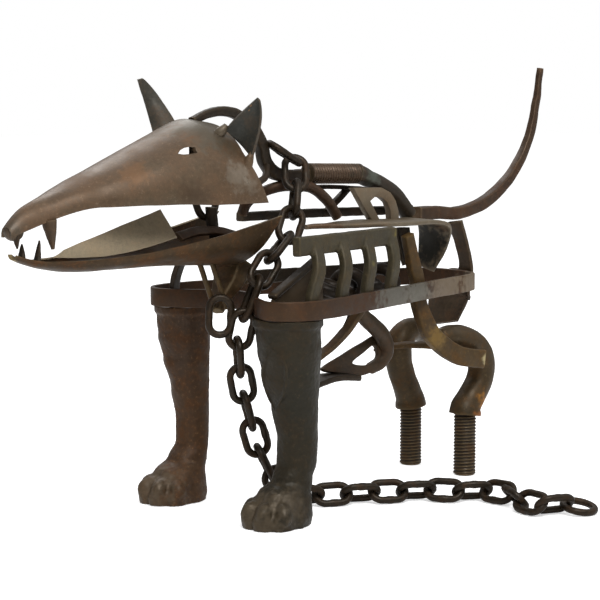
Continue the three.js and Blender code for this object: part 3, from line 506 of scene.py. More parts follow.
looks = {
    "skullIron": dict(main=(110, 87, 64), second=(99, 87, 67), rust=(111, 70, 37),
        pale=(177, 166, 144), edge=(105, 87, 65), rustAmount=0.18, cloudSize=12, gloss=0.55,
        edgeAmount=0.4, metal=0.35, bump=0.35,
        spots=[((146, 104, 66), (-184, -22, 223), 13, 0.45, 0),
               ((152, 104, 66), (-139, -20, 244), 10, 0.45, 0),
               ((100, 94, 80), (-125, -16, 248), 30, 0.7, 0.1), ((84, 78, 66), (-258, 0, 190), 12, 0.6, 0),
               ((176, 168, 152), (-118, -38, 219), 12, 0.3, 0.4),
               ((160, 150, 134), (-109, -39, 213), 8, 0.35, 0.35),
               ((84, 62, 44), (-150, -38, 206), 16, 0.5, 0)]),
    "jawIron": dict(main=(84, 63, 37), second=(74, 54, 30), rust=(116, 71, 33),
        pale=(172, 156, 122), edge=(148, 130, 94), cloudSize=18, gloss=0.45, edgeAmount=0.8, bump=0.35),
    "bladeIron": dict(main=(184, 167, 138), second=(166, 151, 122), rust=(161, 127, 88),
        pale=(173, 163, 142), edge=(174, 160, 139), rustAmount=0.2, paleAmount=0.15, cloudSize=14,
        gloss=0.4, edgeAmount=0.4, metal=0.35, bump=0.25),
    "earIron": dict(main=(71, 71, 65), second=(61, 63, 57), rust=(100, 71, 43),
        pale=(121, 115, 102), edge=(120, 91, 61), secondAmount=0.7, rustAmount=0.25, cloudSize=22,
        edgeAmount=0.8, bump=0.35),
    "farEarIron": dict(main=(86, 82, 72), second=(73, 68, 58), rust=(101, 74, 51),
        pale=(136, 130, 118), edge=(129, 107, 81), secondAmount=0.7, rustAmount=0.35, cloudSize=22,
        bump=0.35),
    "hoopIron": dict(main=(71, 47, 26), second=(62, 42, 25), rust=(93, 56, 27),
        pale=(121, 99, 73), edge=(106, 82, 56), secondAmount=0.7, cloudSize=16, metal=0.45, bump=0.25,
        spots=[((112, 108, 98), (6, -49, 136), 34, 1, 0.1), ((116, 112, 100), (34, -44, 136), 26, 1, 0.1),
               ((136, 120, 100), (72, -33, 136), 32, 0.95, 0),
               ((142, 126, 104), (104, -26, 136), 26, 0.9, 0)]),
    "nearLegIron": dict(main=(49, 41, 23), second=(41, 37, 22), rust=(69, 47, 21),
        pale=(99, 88, 65), edge=(93, 78, 53), rustAmount=0.28, paleAmount=0.3, cloudSize=16,
        edgeAmount=0.6, bump=0.45,
        spots=[((98, 84, 64), (-112, -50, 8), 26, 0.8, 0.05),
               ((92, 80, 62), (-100, -62, 12), 18, 0.6, 0.05)]),
    "farLegIron": dict(main=(85, 58, 31), second=(73, 49, 27), rust=(111, 68, 31),
        pale=(156, 125, 88), edge=(124, 98, 66), paleAmount=0.45, gloss=0.42, edgeAmount=0.6, metal=0.35,
        bump=0.6,
        spots=[((104, 90, 70), (-112, 50, 8), 26, 0.7, 0.05)]),
    "hookIron": dict(main=(80, 62, 34), second=(64, 51, 27), rust=(100, 64, 23),
        pale=(150, 133, 97), edge=(121, 102, 68), rustAmount=0.45, paleAmount=0.25, edgeAmount=0.6,
        spots=[((182, 122, 44), (116, -32, 52), 9, 0.9, 0), ((170, 104, 44), (110, -34, 42), 8, 0.8, 0),
               ((196, 182, 120), (112, -38, 84), 5, 0.8, 0.1)]),
    "threadIron": dict(main=(62, 48, 27), second=(50, 39, 23), rust=(92, 57, 23),
        pale=(120, 104, 77), edge=(136, 113, 79), cloudSize=30, edgeAmount=1, metal=0.45, bump=0.3),
    "spineIron": dict(main=(62, 53, 40), second=(52, 41, 30), rust=(70, 47, 31),
        pale=(118, 112, 96), edge=(116, 101, 75), rustAmount=0.3, cloudSize=24, gloss=0.6, edgeAmount=0.6,
        metal=0.45, bump=0.35,
        spots=[((92, 70, 52), (0, 0, 215), 34, 0.9, 0), ((100, 106, 94), (36, -6, 212), 9, 0.8, 0)]),
    "tailIron": dict(main=(75, 52, 31), second=(62, 43, 26), rust=(89, 52, 26),
        pale=(143, 119, 93), edge=(127, 103, 77), rustAmount=0.35, paleAmount=0.25, cloudSize=18,
        edgeAmount=0.8),
    "grateIron": dict(main=(80, 72, 51), second=(70, 62, 43), rust=(90, 69, 39),
        pale=(124, 112, 82), edge=(111, 96, 66), rustAmount=0.25, paleAmount=0.3, gloss=0.45,
        edgeAmount=0.6, metal=0.35, bump=0.45,
        spots=[((150, 134, 58), (14, -50, 178), 4, 0.7, 0), ((140, 128, 70), (-20, -58, 160), 3, 0.6, 0)]),
    "plateIron": dict(main=(129, 116, 95), second=(116, 101, 79), rust=(122, 85, 53),
        pale=(179, 168, 150), edge=(160, 145, 123), secondAmount=0.7, rustAmount=0.3, paleAmount=0.25,
        cloudSize=16, bump=0.3,
        spots=[((112, 78, 52), (-30, -20, 183), 20, 0.8, 0), ((126, 78, 46), (88, -22, 178), 9, 0.6, 0),
               ((40, 36, 26), (88, -8, 164), 26, 1, 0)]),
    "darkIron": dict(main=(50, 37, 22), second=(41, 33, 20), rust=(68, 45, 24),
        pale=(95, 81, 61), edge=(99, 80, 54), rustAmount=0.35, paleAmount=0.25, cloudSize=22),
    "thighIron": dict(main=(83, 61, 24), second=(72, 51, 21), rust=(113, 73, 24),
        pale=(149, 129, 73), edge=(124, 97, 55), paleAmount=0.3, cloudSize=22, gloss=0.45, metal=0.35,
        spots=[((214, 200, 150), (110, -42, 84), 5, 0.9, 0.25),
               ((168, 132, 60), (60, -40, 104), 12, 0.5, 0)]),
    "chainIron": dict(main=(59, 46, 29), second=(50, 42, 29), rust=(84, 56, 29),
        pale=(108, 95, 73), edge=(122, 101, 74), cloudSize=40, gloss=0.6, edgeAmount=0.5, metal=0.5),
    "fangIron": dict(main=(88, 70, 52), second=(74, 60, 44), rust=(104, 72, 44),
        pale=(134, 118, 92), edge=(130, 110, 84), rustAmount=0.3, cloudSize=24, edgeAmount=0.5),
    "rumpIron": dict(main=(84, 68, 50), second=(68, 54, 40), rust=(100, 68, 42),
        pale=(112, 98, 78), edge=(112, 94, 70), paleAmount=0.25, cloudSize=22),
}

irons = {name: makeIron(name, look) for name, look in looks.items()}
print("materials made:", len(irons))

# the chain
chain = {
    "wire": 4.7, "pitch": 18.9, "longPitch": 23.0, "width": 18.4, "longLink": 6,
    "hanging": 14, "floor": 11, "ringRadius": 10.3, "gap": 0.3,
    "inward": (0.54, 0.85, 0), "besideHoop": (0.45, 0.89, 0),
}
floorHeight = (chain["width"] - chain["wire"]) / 2 * math.sqrt(0.5) + chain["wire"] / 2 + 0.45
chainRoute = [
    (-54.5, -3, 235), (-39, -7, 225), (-46, -15, 209.5), (-53, -21, 193), (-64, -25.5, 177.5),
    (-79, -26.5, 165),
    (-93, -27.5, 149), (-99, -22.5, 127.5), (-99, -17.5, 108.5), (-93.5, -14, 89.5), (-87.5, -13, 70),
    (-81, -13, 51),
    (-74, -14, 33), (-62.5, -16.5, 16), (-46, -24, floorHeight), (-29, -34, floorHeight),
    (-12.5, -44, floorHeight),
    (4, -54, floorHeight), (20, -64, floorHeight), (34.5, -76, floorHeight), (39, -94, floorHeight),
    (57.5, -96, floorHeight), (53.5, -114.5, floorHeight), (44.5, -131, floorHeight), (43, -150, floorHeight),
    (61, -157, floorHeight), (80, -163, floorHeight),
]


def walkChain():
    samples = splinePoints(chainRoute, 3000)
    joints = [samples[0]]
    for point in samples:
        if len(joints) > chain["hanging"] + chain["floor"]:
            break
        pitch = chain["longPitch"] if len(joints) - 1 == chain["longLink"] else chain["pitch"]
        if (point - joints[-1]).length >= pitch:
            joints.append(point)
    return joints


chainJoints = walkChain()


def linkMesh(start, end, flat, play, seed):
    along = end - start
    inside = along.length + play
    along.normalize()
    middle = (start + end) / 2
    wide = (flat - along * along.dot(flat)).normalized()
    across = along.cross(wide)
    bend = (chain["width"] - chain["wire"]) / 2
    straight = (inside + chain["wire"]) / 2 - bend
    line = []
    for way in (1, -1):
        for k in range(15):
            turn = (k / 14 - 0.5) * math.pi
            out = along * (straight + bend * math.cos(turn)) + wide * (bend * math.sin(turn))
            line.append(middle + out * way)
        if straight > 0.5:
            for k in range(1, 5):
                s = lerp(straight, -straight, k / 5)
                line.append(middle + along * (way * s) + wide * (way * bend))
    n = len(line)
    verts = []
    for i, point in enumerate(line):
        tangent = (line[(i + 1) % n] - line[i - 1]).normalized()
        outward = tangent.cross(across)
        radius = chain["wire"] / 2 * (1 + 0.035 * noise.noise(point * 0.4 + Vector((seed, 0, 0))))
        # a resistance weld on one straight
        if abs((point - middle).dot(wide) - bend) < 0.3 and abs((point - middle).dot(along)) < 1.4:
            radius *= 1.1
        verts += [point + outward * a + across * b for a, b in roundSection(radius, 14)]
    return verts, loftFaces(n, 14, True)


def linkFlat(index):
    along = (chainJoints[index + 1] - chainJoints[index]).normalized()
    if index >= chain["hanging"]:
        tilt = math.pi / 4 if index % 2 else -math.pi / 4
        level = along.cross(upAxis).normalized()
        return level * math.cos(tilt) + along.cross(level) * math.sin(tilt)
    if index == chain["longLink"]:
        return vec(chain["besideHoop"])
    inward = vec(chain["inward"])
    inward = (inward - along * along.dot(inward)).normalized()
    return along.cross(inward) if index % 2 else inward


for index in range(chain["hanging"]):
    addPiece(f"chainLink{index + 1:02d}",
             linkMesh(chainJoints[index], chainJoints[index + 1], linkFlat(index), chain["gap"] * 2,
                      seed=index), "chainIron", "chain_iron", [f"chain_link_{index + 1:02d}"], dents=0.12,
             dentSize=0.35, seed=index + 1)
sideTop = chainJoints[chain["longLink"] + 1] + Vector((-11, 10, 9))
sideEnd = sideTop + Vector((-1, 0, -chain["pitch"]))
addPiece("chainLink15", linkMesh(sideTop, sideEnd, Vector((0.8, -0.6, 0)), 0, seed=20), "chainIron",
         "chain_iron", ["chain_link_15"], dents=0.12, dentSize=0.35)
floorLinks = [linkMesh(chainJoints[i], chainJoints[i + 1], linkFlat(i), -chain["gap"], seed=i)
              for i in range(chain["hanging"], chain["hanging"] + chain["floor"])]
addPiece("chainOnFloor", joinMeshes(floorLinks), "chainIron", "chain_iron", ["chain_on_floor"], dents=0.12,
         dentSize=0.35)


def endRingMesh():
    last = chain["hanging"] + chain["floor"]
    along = chainJoints[last] - chainJoints[last - 1]
    along.z = 0
    along.normalize()
    centre = chainJoints[last] + along * (chain["ringRadius"] - chain["wire"] / 2 + chain["gap"])
    tilt = 0.2
    centre.z = chain["wire"] / 2 + chain["ringRadius"] * math.sin(tilt)
    verts = []
    turns = 48
    for i in range(turns):
        a = 2 * math.pi * i / turns
        out = Vector((math.cos(a), math.sin(a) * math.cos(tilt), math.sin(a) * math.sin(tilt)))
        axis = Vector((0, -math.sin(tilt), math.cos(tilt)))
        for c, s in roundSection(chain["wire"] / 2 - 0.03, 14):
            verts.append(centre + out * (chain["ringRadius"] + c) + axis * s)
    return verts, loftFaces(turns, 14, True)


addPiece("chainEndRing", endRingMesh(), "chainIron", "chain_iron", ["chain_end_ring"], dents=0.04,
         dentSize=0.35)
print("chain made")

# the hoop
hoop = {"top": 142.5, "tall": 12.0, "thick": 3.0, "front": 107, "rear": 122, "lobe": 72, "farShare": 0.957}
hoopBottom = hoop["top"] - hoop["tall"]
hoopHalf = [
    (-hoop["front"] + 27, 6), (-hoop["front"] + 18, 22), (-hoop["front"] + 6, 39),
    (-hoop["front"], hoop["lobe"] * 0.77),
    (-hoop["front"] + 7, hoop["lobe"] * 0.93), (-hoop["front"] + 22, hoop["lobe"]),
    (-hoop["front"] + 47, hoop["lobe"] * 0.97),
    (-25, hoop["lobe"] * 0.85), (20, hoop["lobe"] * 0.7), (64, hoop["lobe"] * 0.55), (hoop["rear"] - 18, 31),
    (hoop["rear"] - 6, 25), (hoop["rear"], 12),
]
hoopLine = [(x, -y, hoopBottom + hoop["tall"] / 2) for x, y in hoopHalf]
hoopLine += [(x, y * hoop["farShare"], hoopBottom + hoop["tall"] / 2) for x, y in reversed(hoopHalf)]
addSwept("bodyHoop", hoopLine, barSection(hoop["tall"], hoop["thick"], 0.7), 240, "hoopIron", "brown_rust",
         ["body_hoop"], across=upAxis, closed=True, dents=0.18, dentSize=0.08)


def hoopWidthAt(x):
    side = hoopHalf[5:]
    for (x0, y0), (x1, y1) in zip(side, side[1:]):
        if x <= x1:
            return lerp(y0, y1, clamp((x - x0) / (x1 - x0)))
    return side[-1][1]


# front legs
frontLegs = {
    "spread": 50.5, "topRadius": {-1: 22.3, 1: 19}, "boot": 28, "axisX": -86.5, "pawX": -95,
    "rings": [(1, 0, 1, 1), (0.955, 0, 1, 1), (0.94, 0, 0.93, 0.93), (0.8, 1, 0.92, 0.9),
              (0.65, 3, 0.83, 0.8),
              (0.45, 6, 0.69, 0.66), (0.25, 8, 0.6, 0.58), (0.1, 7.5, 0.59, 0.58)],
    "pawRings": [(1, 0.25, 13.4, 12.4), (0.72, 0.65, 17.8, 15.2), (0.45, 0.9, 22.2, 17.8), (0.2, 1, 24, 19.2),
                 (0, 1, 22.8, 18.6)],
    "toes": (-62, -22, 22, 62), "toeSize": (8.4, 6.2, 8.6),
}
legTop = hoopBottom - 0.3


def frontLegMesh(side):
    leg = frontLegs
    stations = []
    for share, shift, long, wide in leg["rings"]:
        stations.append((lerp(leg["boot"], legTop, share), leg["axisX"] + shift,
                         long * leg["topRadius"][side], wide * leg["topRadius"][side]))
    ankleX = leg["axisX"] + leg["rings"][-1][1]
    for share, forward, long, wide in leg["pawRings"]:
        stations.append((share * leg["boot"], lerp(ankleX, leg["pawX"], forward), long, wide))
    sides = 72
    dense = []
    for (z0, x0, l0, w0), (z1, x1, l1, w1) in zip(stations, stations[1:]):
        count = max(2, int(abs(z0 - z1) / 1.6))
        for k in range(count):
            t = k / count
            s = t * t * (3 - 2 * t) if abs(l0 - l1) > 0.4 or abs(x0 - x1) > 0.4 else t
            dense.append((lerp(z0, z1, t), lerp(x0, x1, s), lerp(l0, l1, s), lerp(w0, w1, s)))
    dense.append(stations[-1])
    verts = []
    toeReach = [math.radians(180 + a) for a in leg["toes"]]
    for z, x, long, wide in dense:
        for j in range(sides):
            a = 2 * math.pi * j / sides
            grow = 0.0
            if z < leg["boot"] * 0.9:
                # toes swell out of the front of the paw and clefts run between them
                low = clamp((leg["boot"] * 0.9 - z) / 12)
                nearest = min(abs((a - r + math.pi) % (2 * math.pi) - math.pi) for r in toeReach)
                front = clamp(-math.cos(a) * 1.6 + 0.25)
                grow = low * front * (1.6 - 5.2 * clamp(nearest / 0.35 - 0.45) ** 1.3)
            verts.append(Vector((x + (long + grow) * math.cos(a),
                                 side * leg["spread"] + (wide + grow) * math.sin(a), z)))
    body = (verts, loftFaces(len(dense), sides, False))
    toes = []
    for r in toeReach:
        centre = (leg["pawX"] + 17.5 * math.cos(r), side * leg["spread"] + 14.5 * math.sin(r),
                  leg["toeSize"][2] + 0.05)
        toes.append(ellipsoid(centre, leg["toeSize"], r, 18, 26))
    return body, toes


def fuseSmooth(obj, voxel, rounds):
    # melts touching forms together as a casting
    remesh = obj.modifiers.new("melt", "REMESH")
    remesh.mode = "VOXEL"
    remesh.voxel_size = voxel * millimetre
    soften = obj.modifiers.new("relax", "SMOOTH")
    soften.iterations = rounds
    soften.factor = 0.5
    applyModifiers(obj)
    obj.data.shade_smooth()


def ridgeMesh(points, radius):
    def section(t):
        swell = math.sin(math.pi * clamp(t, 0.03, 0.97))
        return roundSection(radius * (0.35 + 0.65 * swell), 10)

    return sweepMesh(points, section, 30)


legTrim = {
    # the raised leaf on the near leg: x, y, z on the casting's surface
    "leafOuter": [(-105.1, -56.7, 112.6), (-104.5, -48.7, 104.2), (-99.5, -42.4, 92.9), (-95.2, -41.4, 81.6),
                  (-95.4, -48, 72.9)],
    "leafInner": [(-105.1, -56.7, 112.6), (-101, -62.2, 106.5), (-98.2, -61.9, 96.2), (-97, -57.9, 84.4),
                  (-95.6, -49.2, 73.1)],
}


def buildLeg(name, side, iron, slot, node, trims):
    body, toes = frontLegMesh(side)
    obj = addPiece(name, joinMeshes([body, *toes, *trims]), iron, slot, [node], dents=0.35, dentSize=0.07,
                   seed=3 + side)
    fuseSmooth(obj, 0.62, 3)
    mesh = obj.data
    # the normals are read first, because moving a vertex makes Blender work them all out again
    normals = [vertex.normal.copy() for vertex in mesh.vertices]
    for vertex, normal in zip(mesh.vertices, normals):
        q = vertex.co / millimetre
        pit = noise.noise(q * 0.55) * 0.16 + noise.noise(q * 0.16) * 0.25 - 0.18
        vertex.co += normal * (pit * millimetre)
        vertex.co.z = max(vertex.co.z, 0.0)


buildLeg("nearFrontLeg", -1, "nearLegIron", "green_black", "near_front_leg",
         [ridgeMesh(legTrim["leafOuter"], 1.9), ridgeMesh(legTrim["leafInner"], 1.7)])
buildLeg("farFrontLeg", 1, "farLegIron", "rust_mottled", "far_front_leg", [])
print("front legs made")

# rear hooks with threaded shanks
rearHooks = {
    "radius": 9.6, "spread": 26, "shankX": 108, "shankRadius": 7.95, "shankLength": 43, "pitch": 2.31,
    "depth": 1.15,
    "radii": [0.72, 0.84, 0.93, 1, 1.04, 1, 0.98, 1.02, 1.17],
    "near": [(80, 99), (92, 99.5), (106, 96.5), (118, 89.5), (125, 78), (123, 66), (115.5, 56), (109, 48),
             (108, 43)],
    "far": [(124, 93), (114, 97.5), (103, 97), (95, 89.5), (94.5, 78), (98.5, 66.5), (103.5, 56), (107, 48),
            (108, 43)],
}


def hookMesh(side, route):
    hook = rearHooks
    points = [(x, side * hook["spread"], z) for x, z in route]

    def section(t):
        face = 0.86 if t < 0.012 else 1   # the sawn end is a little narrower
        return roundSection(smooth(hook["radii"], t) * hook["radius"] * face, 36)

    return sweepMesh(points, section, 90)


def shankMesh(side):
    hook = rearHooks
    x, y = hook["shankX"], side * hook["spread"]
    thread = threadMesh((x, y, 1.2), (0, 0, 1), hook["shankLength"] + 2, hook["shankRadius"], hook["pitch"],
                        hook["depth"], 48, 8, (1.5, 3))
    end = latheMesh([(0.01, 0.0), (hook["shankRadius"] - 1.4, 0.0), (hook["shankRadius"] - 0.5, 0.9),
                     (hook["shankRadius"] - 0.5, 2.2)], (x, y), 48)
    return thread, end


for label, side, route, node in (("near", -1, rearHooks["near"], "near_rear_leg"),
                                 ("far", 1, rearHooks["far"], "far_rear_leg")):
    addPiece(f"{label}RearHook", hookMesh(side, route), "hookIron", "tan_iron", [node], dents=0.3,
             dentSize=0.09, seed=side + 5)
    addPiece(f"{label}RearShank", joinMeshes(shankMesh(side)), "threadIron", "tan_iron", [], flatAngle=70)
print("rear hooks made")

# skull
skull = {"nose": -262, "rear": -95, "half": 41, "rim": 202, "crown": 253, "sheet": 2.4}


def crownAt(u):
    rise = 5.6 * (1 - (1 - min(1, u / 0.1)) ** 2)
    slope = (skull["crown"] - skull["rim"] + 8.5 - 5.6) * min(1, u / 0.88)
    return skull["rim"] - 8.5 + rise + slope - 3.5 * max(0, (u - 0.8) / 0.2) ** 2


def skullSurface(u, v):
    turn = (v - 0.5) * math.pi
    arch = max(0.0, math.cos(turn))
    rear = lerp(skull["rear"], skull["rear"] - 12.5, min(1, arch * 1.6))
    x = lerp(skull["nose"], rear, u)
    width = skull["half"] * (0.1 + 0.9 * math.sin(u * math.pi / 2) ** 1.15)
    beak = max(0, 1 - u / 0.32)
    rim = skull["rim"] + 1.6 * math.sin(math.pi * min(1, u * 1.15)) - 14.5 * beak ** 1.5
    return Vector((x, width * math.sin(turn), lerp(rim, crownAt(u), arch)))


def eyeCutter():
    left = skull["rear"] - 58.8
    low = lerp(skull["rim"], skull["crown"], 0.61)
    outline = [(0.6, 0.4), (3.1, 2.3), (6.35, 3.6), (9.8, 4.1), (13.2, 3.9), (12.4, 2.2), (12.4, 0.5),
               (9.3, -0.1), (6.2, -0.3), (3, -0.2)]
    verts = [Vector((left + x, y, low + z)) for y in (-60, 60) for x, z in outline]
    return verts, loftFaces(2, len(outline), False)


addPiece("skullShell", plateMesh(skullSurface, 120, 72, skull["sheet"]), "skullIron", "brown_rust", ["skull"],
         bevel=0.5, dents=0.55, dentSize=0.035, cutters=[eyeCutter()], flatAngle=50)
addPiece("skullNose", ellipsoid((skull["nose"] + 4.8, 0, skull["rim"] - 11.2), (5.8, 6.3, 5.7), 0, 24, 32),
         "skullIron", "brown_rust", [], dents=0.2, dentSize=0.15)

# lower jaw
jaw = {"nose": -258, "rear": -73, "half": 30, "rim": 172.2, "keel": 160.8, "sheet": 2.4}


def jawSurface(u, v):
    turn = (v - 0.5) * math.pi
    deep = max(0.0, math.cos(turn))
    rear = lerp(jaw["rear"], jaw["rear"] - 20, deep ** 0.8)
    x = lerp(jaw["nose"], rear, u)
    width = jaw["half"] * (0.1 + 0.9 * math.sin(u * math.pi / 2) ** 0.8)
    rim = jaw["rim"] + 19.9 * max(0, (u - 0.3) / 0.7) ** 1.45 + 5 * max(0, 1 - u / 0.12) ** 2
    keel = jaw["keel"] + 14.2 * (1 - min(1, u / 0.5)) ** 3 + 4.5 * math.sin(math.pi * clamp(u))
    return Vector((x, width * math.sin(turn), lerp(rim, min(keel, rim - 1.2), deep ** 0.9)))


addPiece("lowerJaw", plateMesh(jawSurface, 120, 60, jaw["sheet"]), "jawIron", "brown_rust", ["lower_jaw"],
         bevel=0.45, dents=0.4, dentSize=0.04, flatAngle=50)


def bladeSurface(u, v):
    lower = Vector((lerp(-238, -145, u), lerp(-6, -13, u),
                    jaw["rim"] + lerp(2.4, 8.6, u) - 4.5 * math.sin(math.pi * u)))
    upper = Vector((lerp(-238, -149, u), lerp(-6, -2, u), jaw["rim"] + lerp(2.7, 25.8, u ** 0.95)))
    return lower.lerp(upper, v * min(1, 0.12 + u * 6))


addPiece("tongueBlade", plateMesh(bladeSurface, 80, 20, 2.6), "bladeIron", "grey_olive", ["tongue_blade"],
         bevel=0.5, dents=0.3, dentSize=0.05)
addSwept("jawRail", [(-140, -9, 181.2), (-124, -8, 183.7), (-108, -10, 183.2), (-98, -15, 180.2)],
         barSection(7, 3, 1.2), 40, "tailIron", "tan_iron", ["jaw_rail"], across=Vector((0, 1, 0.9)),
         dents=0.3)

# fangs
fangs = [
    ("upperFrontFang", (-257.4, -3, 188.9), (-257, -3, 180.9), 3.2, "upper_front_fang", "darkIron"),
    ("upperSideFang", (-238, -9, 194.2), (-236.7, -10.2, 179.7), 5.4, "upper_side_fang", "fangIron"),
    ("lowerFrontFang", (-249.5, 3, 175.2), (-249.2, 3, 182.9), 3, "lower_front_fang", "darkIron"),
    ("lowerSideFang", (-244.6, -5.5, 173.1), (-242.9, -5.5, 185), 3, "lower_side_fang", "darkIron"),
]


def fangSection(radius, t):
    # flatter sideways than it is long, and curved to the point
    reach = lerp(radius, radius * 0.2, t ** 1.25)
    return [(a * 0.72, b * 1.08) for a, b in roundSection(reach, 18)]


for name, root, tip, radius, node, iron in fangs:
    foot = vec(root).lerp(vec(tip), -0.18)
    addSwept(name, [foot, vec(root).lerp(vec(tip), 0.5), vec(tip)], lambda t: fangSection(radius, t), 24,
             iron, "dark_iron", [node], across=Vector((1, 0, 0)), dents=0.2, dentSize=0.3)

# ears
ears = {
    "near": {"front": (-115.5, -25.4, 247), "back": (-105.5, -38.5, 230), "tip": (-107, -46.3, 266),
             "bulge": (1.5, -2.3, 2.5), "bow": (-1, 1, -0.8), "hollow": -5, "tipWidth": 2.4},
    "far": {"front": (-123, 32.8, 239), "back": (-107, 27.1, 243), "tip": (-124.5, 45.9, 278),
            "bulge": (2.4, 4.8, 4.5), "bow": (4.4, 3.2, -5), "hollow": 4, "tipWidth": 3.6},
}


def earSurface(ear, u, v):
    narrow = math.sin(math.pi * min(1, u))
    foot = (vec(ear["back"]) - vec(ear["front"])).normalized()
    tip, taper = vec(ear["tip"]), foot * (ear["tipWidth"] / 2 * u)
    left = vec(ear["front"]).lerp(tip, u) + vec(ear["bow"]) * narrow - taper
    right = vec(ear["back"]).lerp(tip, u) + vec(ear["bulge"]) * narrow + taper
    normal = (right - left).cross(upAxis).normalized()
    return left.lerp(right, v) + normal * (ear["hollow"] * (1 - u) * math.sin(math.pi * v))


for side, node, iron, slot in (("near", "near_ear", "earIron", "dark_iron"),
                               ("far", "far_ear", "farEarIron", "brown_rust")):
    addPiece(f"{side}Ear", plateMesh(lambda u, v, ear=ears[side]: earSurface(ear, u, v), 60, 30, 2), iron,
             slot, [node], bevel=0.4, dents=0.3, dentSize=0.08)
# gussets of weld where the near ear leaves the skull
addPiece("earWeldFront", ridgeMesh([(-122, -19.5, 243), (-118, -22.6, 245), (-115, -25.6, 250)], 3.6),
         "skullIron", "dark_iron", [], dents=0.3, dentSize=0.2)
addPiece("earWeldRear", ridgeMesh([(-109, -34.6, 217), (-107, -35.6, 225), (-105, -38, 233.5)], 3.4),
         "skullIron", "dark_iron", [], dents=0.3, dentSize=0.2)
print("head made")

# spine, neck and tail
spine = {"radius": 6.9, "height": 215, "front": -21, "pitch": 2.3, "depth": 1.05, "threadEnd": 27}
h = spine["height"]
shaftRoute = [(24, 0, h - 1), (30, 0, h - 2.2), (34, 0, h - 3.8), (46, 0, h - 8.5), (60, 0, h - 15.5),
              (69, 0, h - 23.5), (76, 0, h - 31)]
threadReach = spine["threadEnd"] - spine["front"]
addPiece("spineThread",
         threadMesh((spine["front"], 0, h + 0.8), (threadReach, 0, -1.8), threadReach,
                    spine["radius"], spine["pitch"], spine["depth"], 44, 8, (1, 2)),
         "spineIron", "brown_rust", ["spine_bolt"], flatAngle=70)
addSwept("spineShaft", shaftRoute,
         lambda t: roundSection(spine["radius"] * lerp(0.97, 0.86, clamp(t * 4)), 32), 60, "spineIron",
         "brown_rust", [], dents=0.25, dentSize=0.1)
crown = skull["crown"]
neckRoute = [(-121, 0, crown - 1), (-109, 0, crown + 3), (-97, 0, crown + 4.8), (-84, 0, crown + 2.5),
             (-70.5, 0, crown - 6), (-62.5, 0, crown - 17), (-57, 2, crown - 29), (-48, 3, crown - 36),
             (-35, 2, crown - 38.5), (-21.3, 0, crown - 38)]
addSwept("neckHook", neckRoute, lambda t: barSection(lerp(6, 8.5, t), lerp(5.2, 8.5, min(1, t * 1.5)), 1.9),
         110, "darkIron", "dark_iron", ["neck_hook"], dents=0.35, dentSize=0.12)
addSwept("neckRod", [(-58, 0, crown - 31), (-70, -12, crown - 37), (-100, -30, crown - 42)],
         roundSection(2.3, 16), 30, "darkIron", "dark_iron", ["neck_rod"], dents=0.2)
backTop = 184
tailRoute = [(84, 0, backTop), (104, 0, backTop), (125, 0, backTop - 1.5), (150, 0, backTop + 3),
             (171, 0, backTop + 12.5), (191, 0, backTop + 29), (205, 0, backTop + 50),
             (213.5, 0, backTop + 78), (217.1, 0, 284.7)]
addSwept("tailBar", tailRoute, lambda t: barSection(lerp(9.5, 4, t ** 1.3), lerp(9.5, 4.4, t ** 1.2), 1.3),
         130, "tailIron", "tan_iron", ["tail_bar"], dents=0.4, dentSize=0.09)

# back plate, grate, brackets
backRoute = [(-41, -19, backTop - 1.5), (-20, -21, backTop - 1.5), (10, -23, backTop - 1.5),
             (45, -23, backTop - 2.5), (72, -19, backTop - 3.5), (85, -15, backTop - 7),
             (90.5, -11, backTop - 15), (91, -8, backTop - 26), (88.5, -5, backTop - 38)]
backWidths = [4, 12, 24, 32, 33, 30, 29, 29, 26, 17]
addSwept("topPlate", backRoute, lambda t: barSection(steps(backWidths, t), 3, 1.1, 4), 110, "plateIron",
         "tan_iron", ["top_plate"], dents=0.35, dentSize=0.06)

grate = {"rear": (9.5, -45.5), "ribs": 4, "pitch": 27, "top": 181.5, "thick": 5.8, "ribWidth": 9,
         "barTall": 12, "bulge": 3.5}
grateFront = (grate["rear"][0] - grate["pitch"] * (grate["ribs"] - 1), -59.5)


def grateMeshes():
    parts = []
    top = grate["top"]
    for i in range(grate["ribs"]):
        share = i / (grate["ribs"] - 1)
        x, y = lerp(grateFront[0], grate["rear"][0], share), lerp(grateFront[1], grate["rear"][1], share)
        footX = x - lerp(10, 1.4, share)
        footY = -(hoopWidthAt(footX) - hoop["thick"] / 2 - grate["thick"] / 2 - 0.3)
        points = [(x, y, top - 4), (lerp(x, footX, 0.4), lerp(y, footY, 0.5) - grate["bulge"], top - 21),
                  (footX, footY, hoop["top"] + 2), (footX, footY, hoopBottom + 3)]
        parts.append(sweepMesh(points, barSection(grate["ribWidth"], grate["thick"], 1.5), 44,
                               Vector((1, 0.15, 0))))
    slope = (grate["rear"][1] - grateFront[1]) / (grate["rear"][0] - grateFront[0])

    def barEnd(x):
        return (x, grateFront[1] + slope * (x - grateFront[0]), top - grate["barTall"] / 2)
    parts.append(sweepMesh([barEnd(grateFront[0] - 20), barEnd(-30),
                            barEnd(grate["rear"][0] + grate["ribWidth"] / 2)],
                           barSection(grate["thick"] + 0.4, grate["barTall"], 1.5), 60))
    return parts


ribGrate = addPiece("ribGrate", joinMeshes(grateMeshes()), "grateIron", "grey_olive", ["rib_grate"],
                    dents=0.25, dentSize=0.08)
fuseSmooth(ribGrate, 0.75, 3)


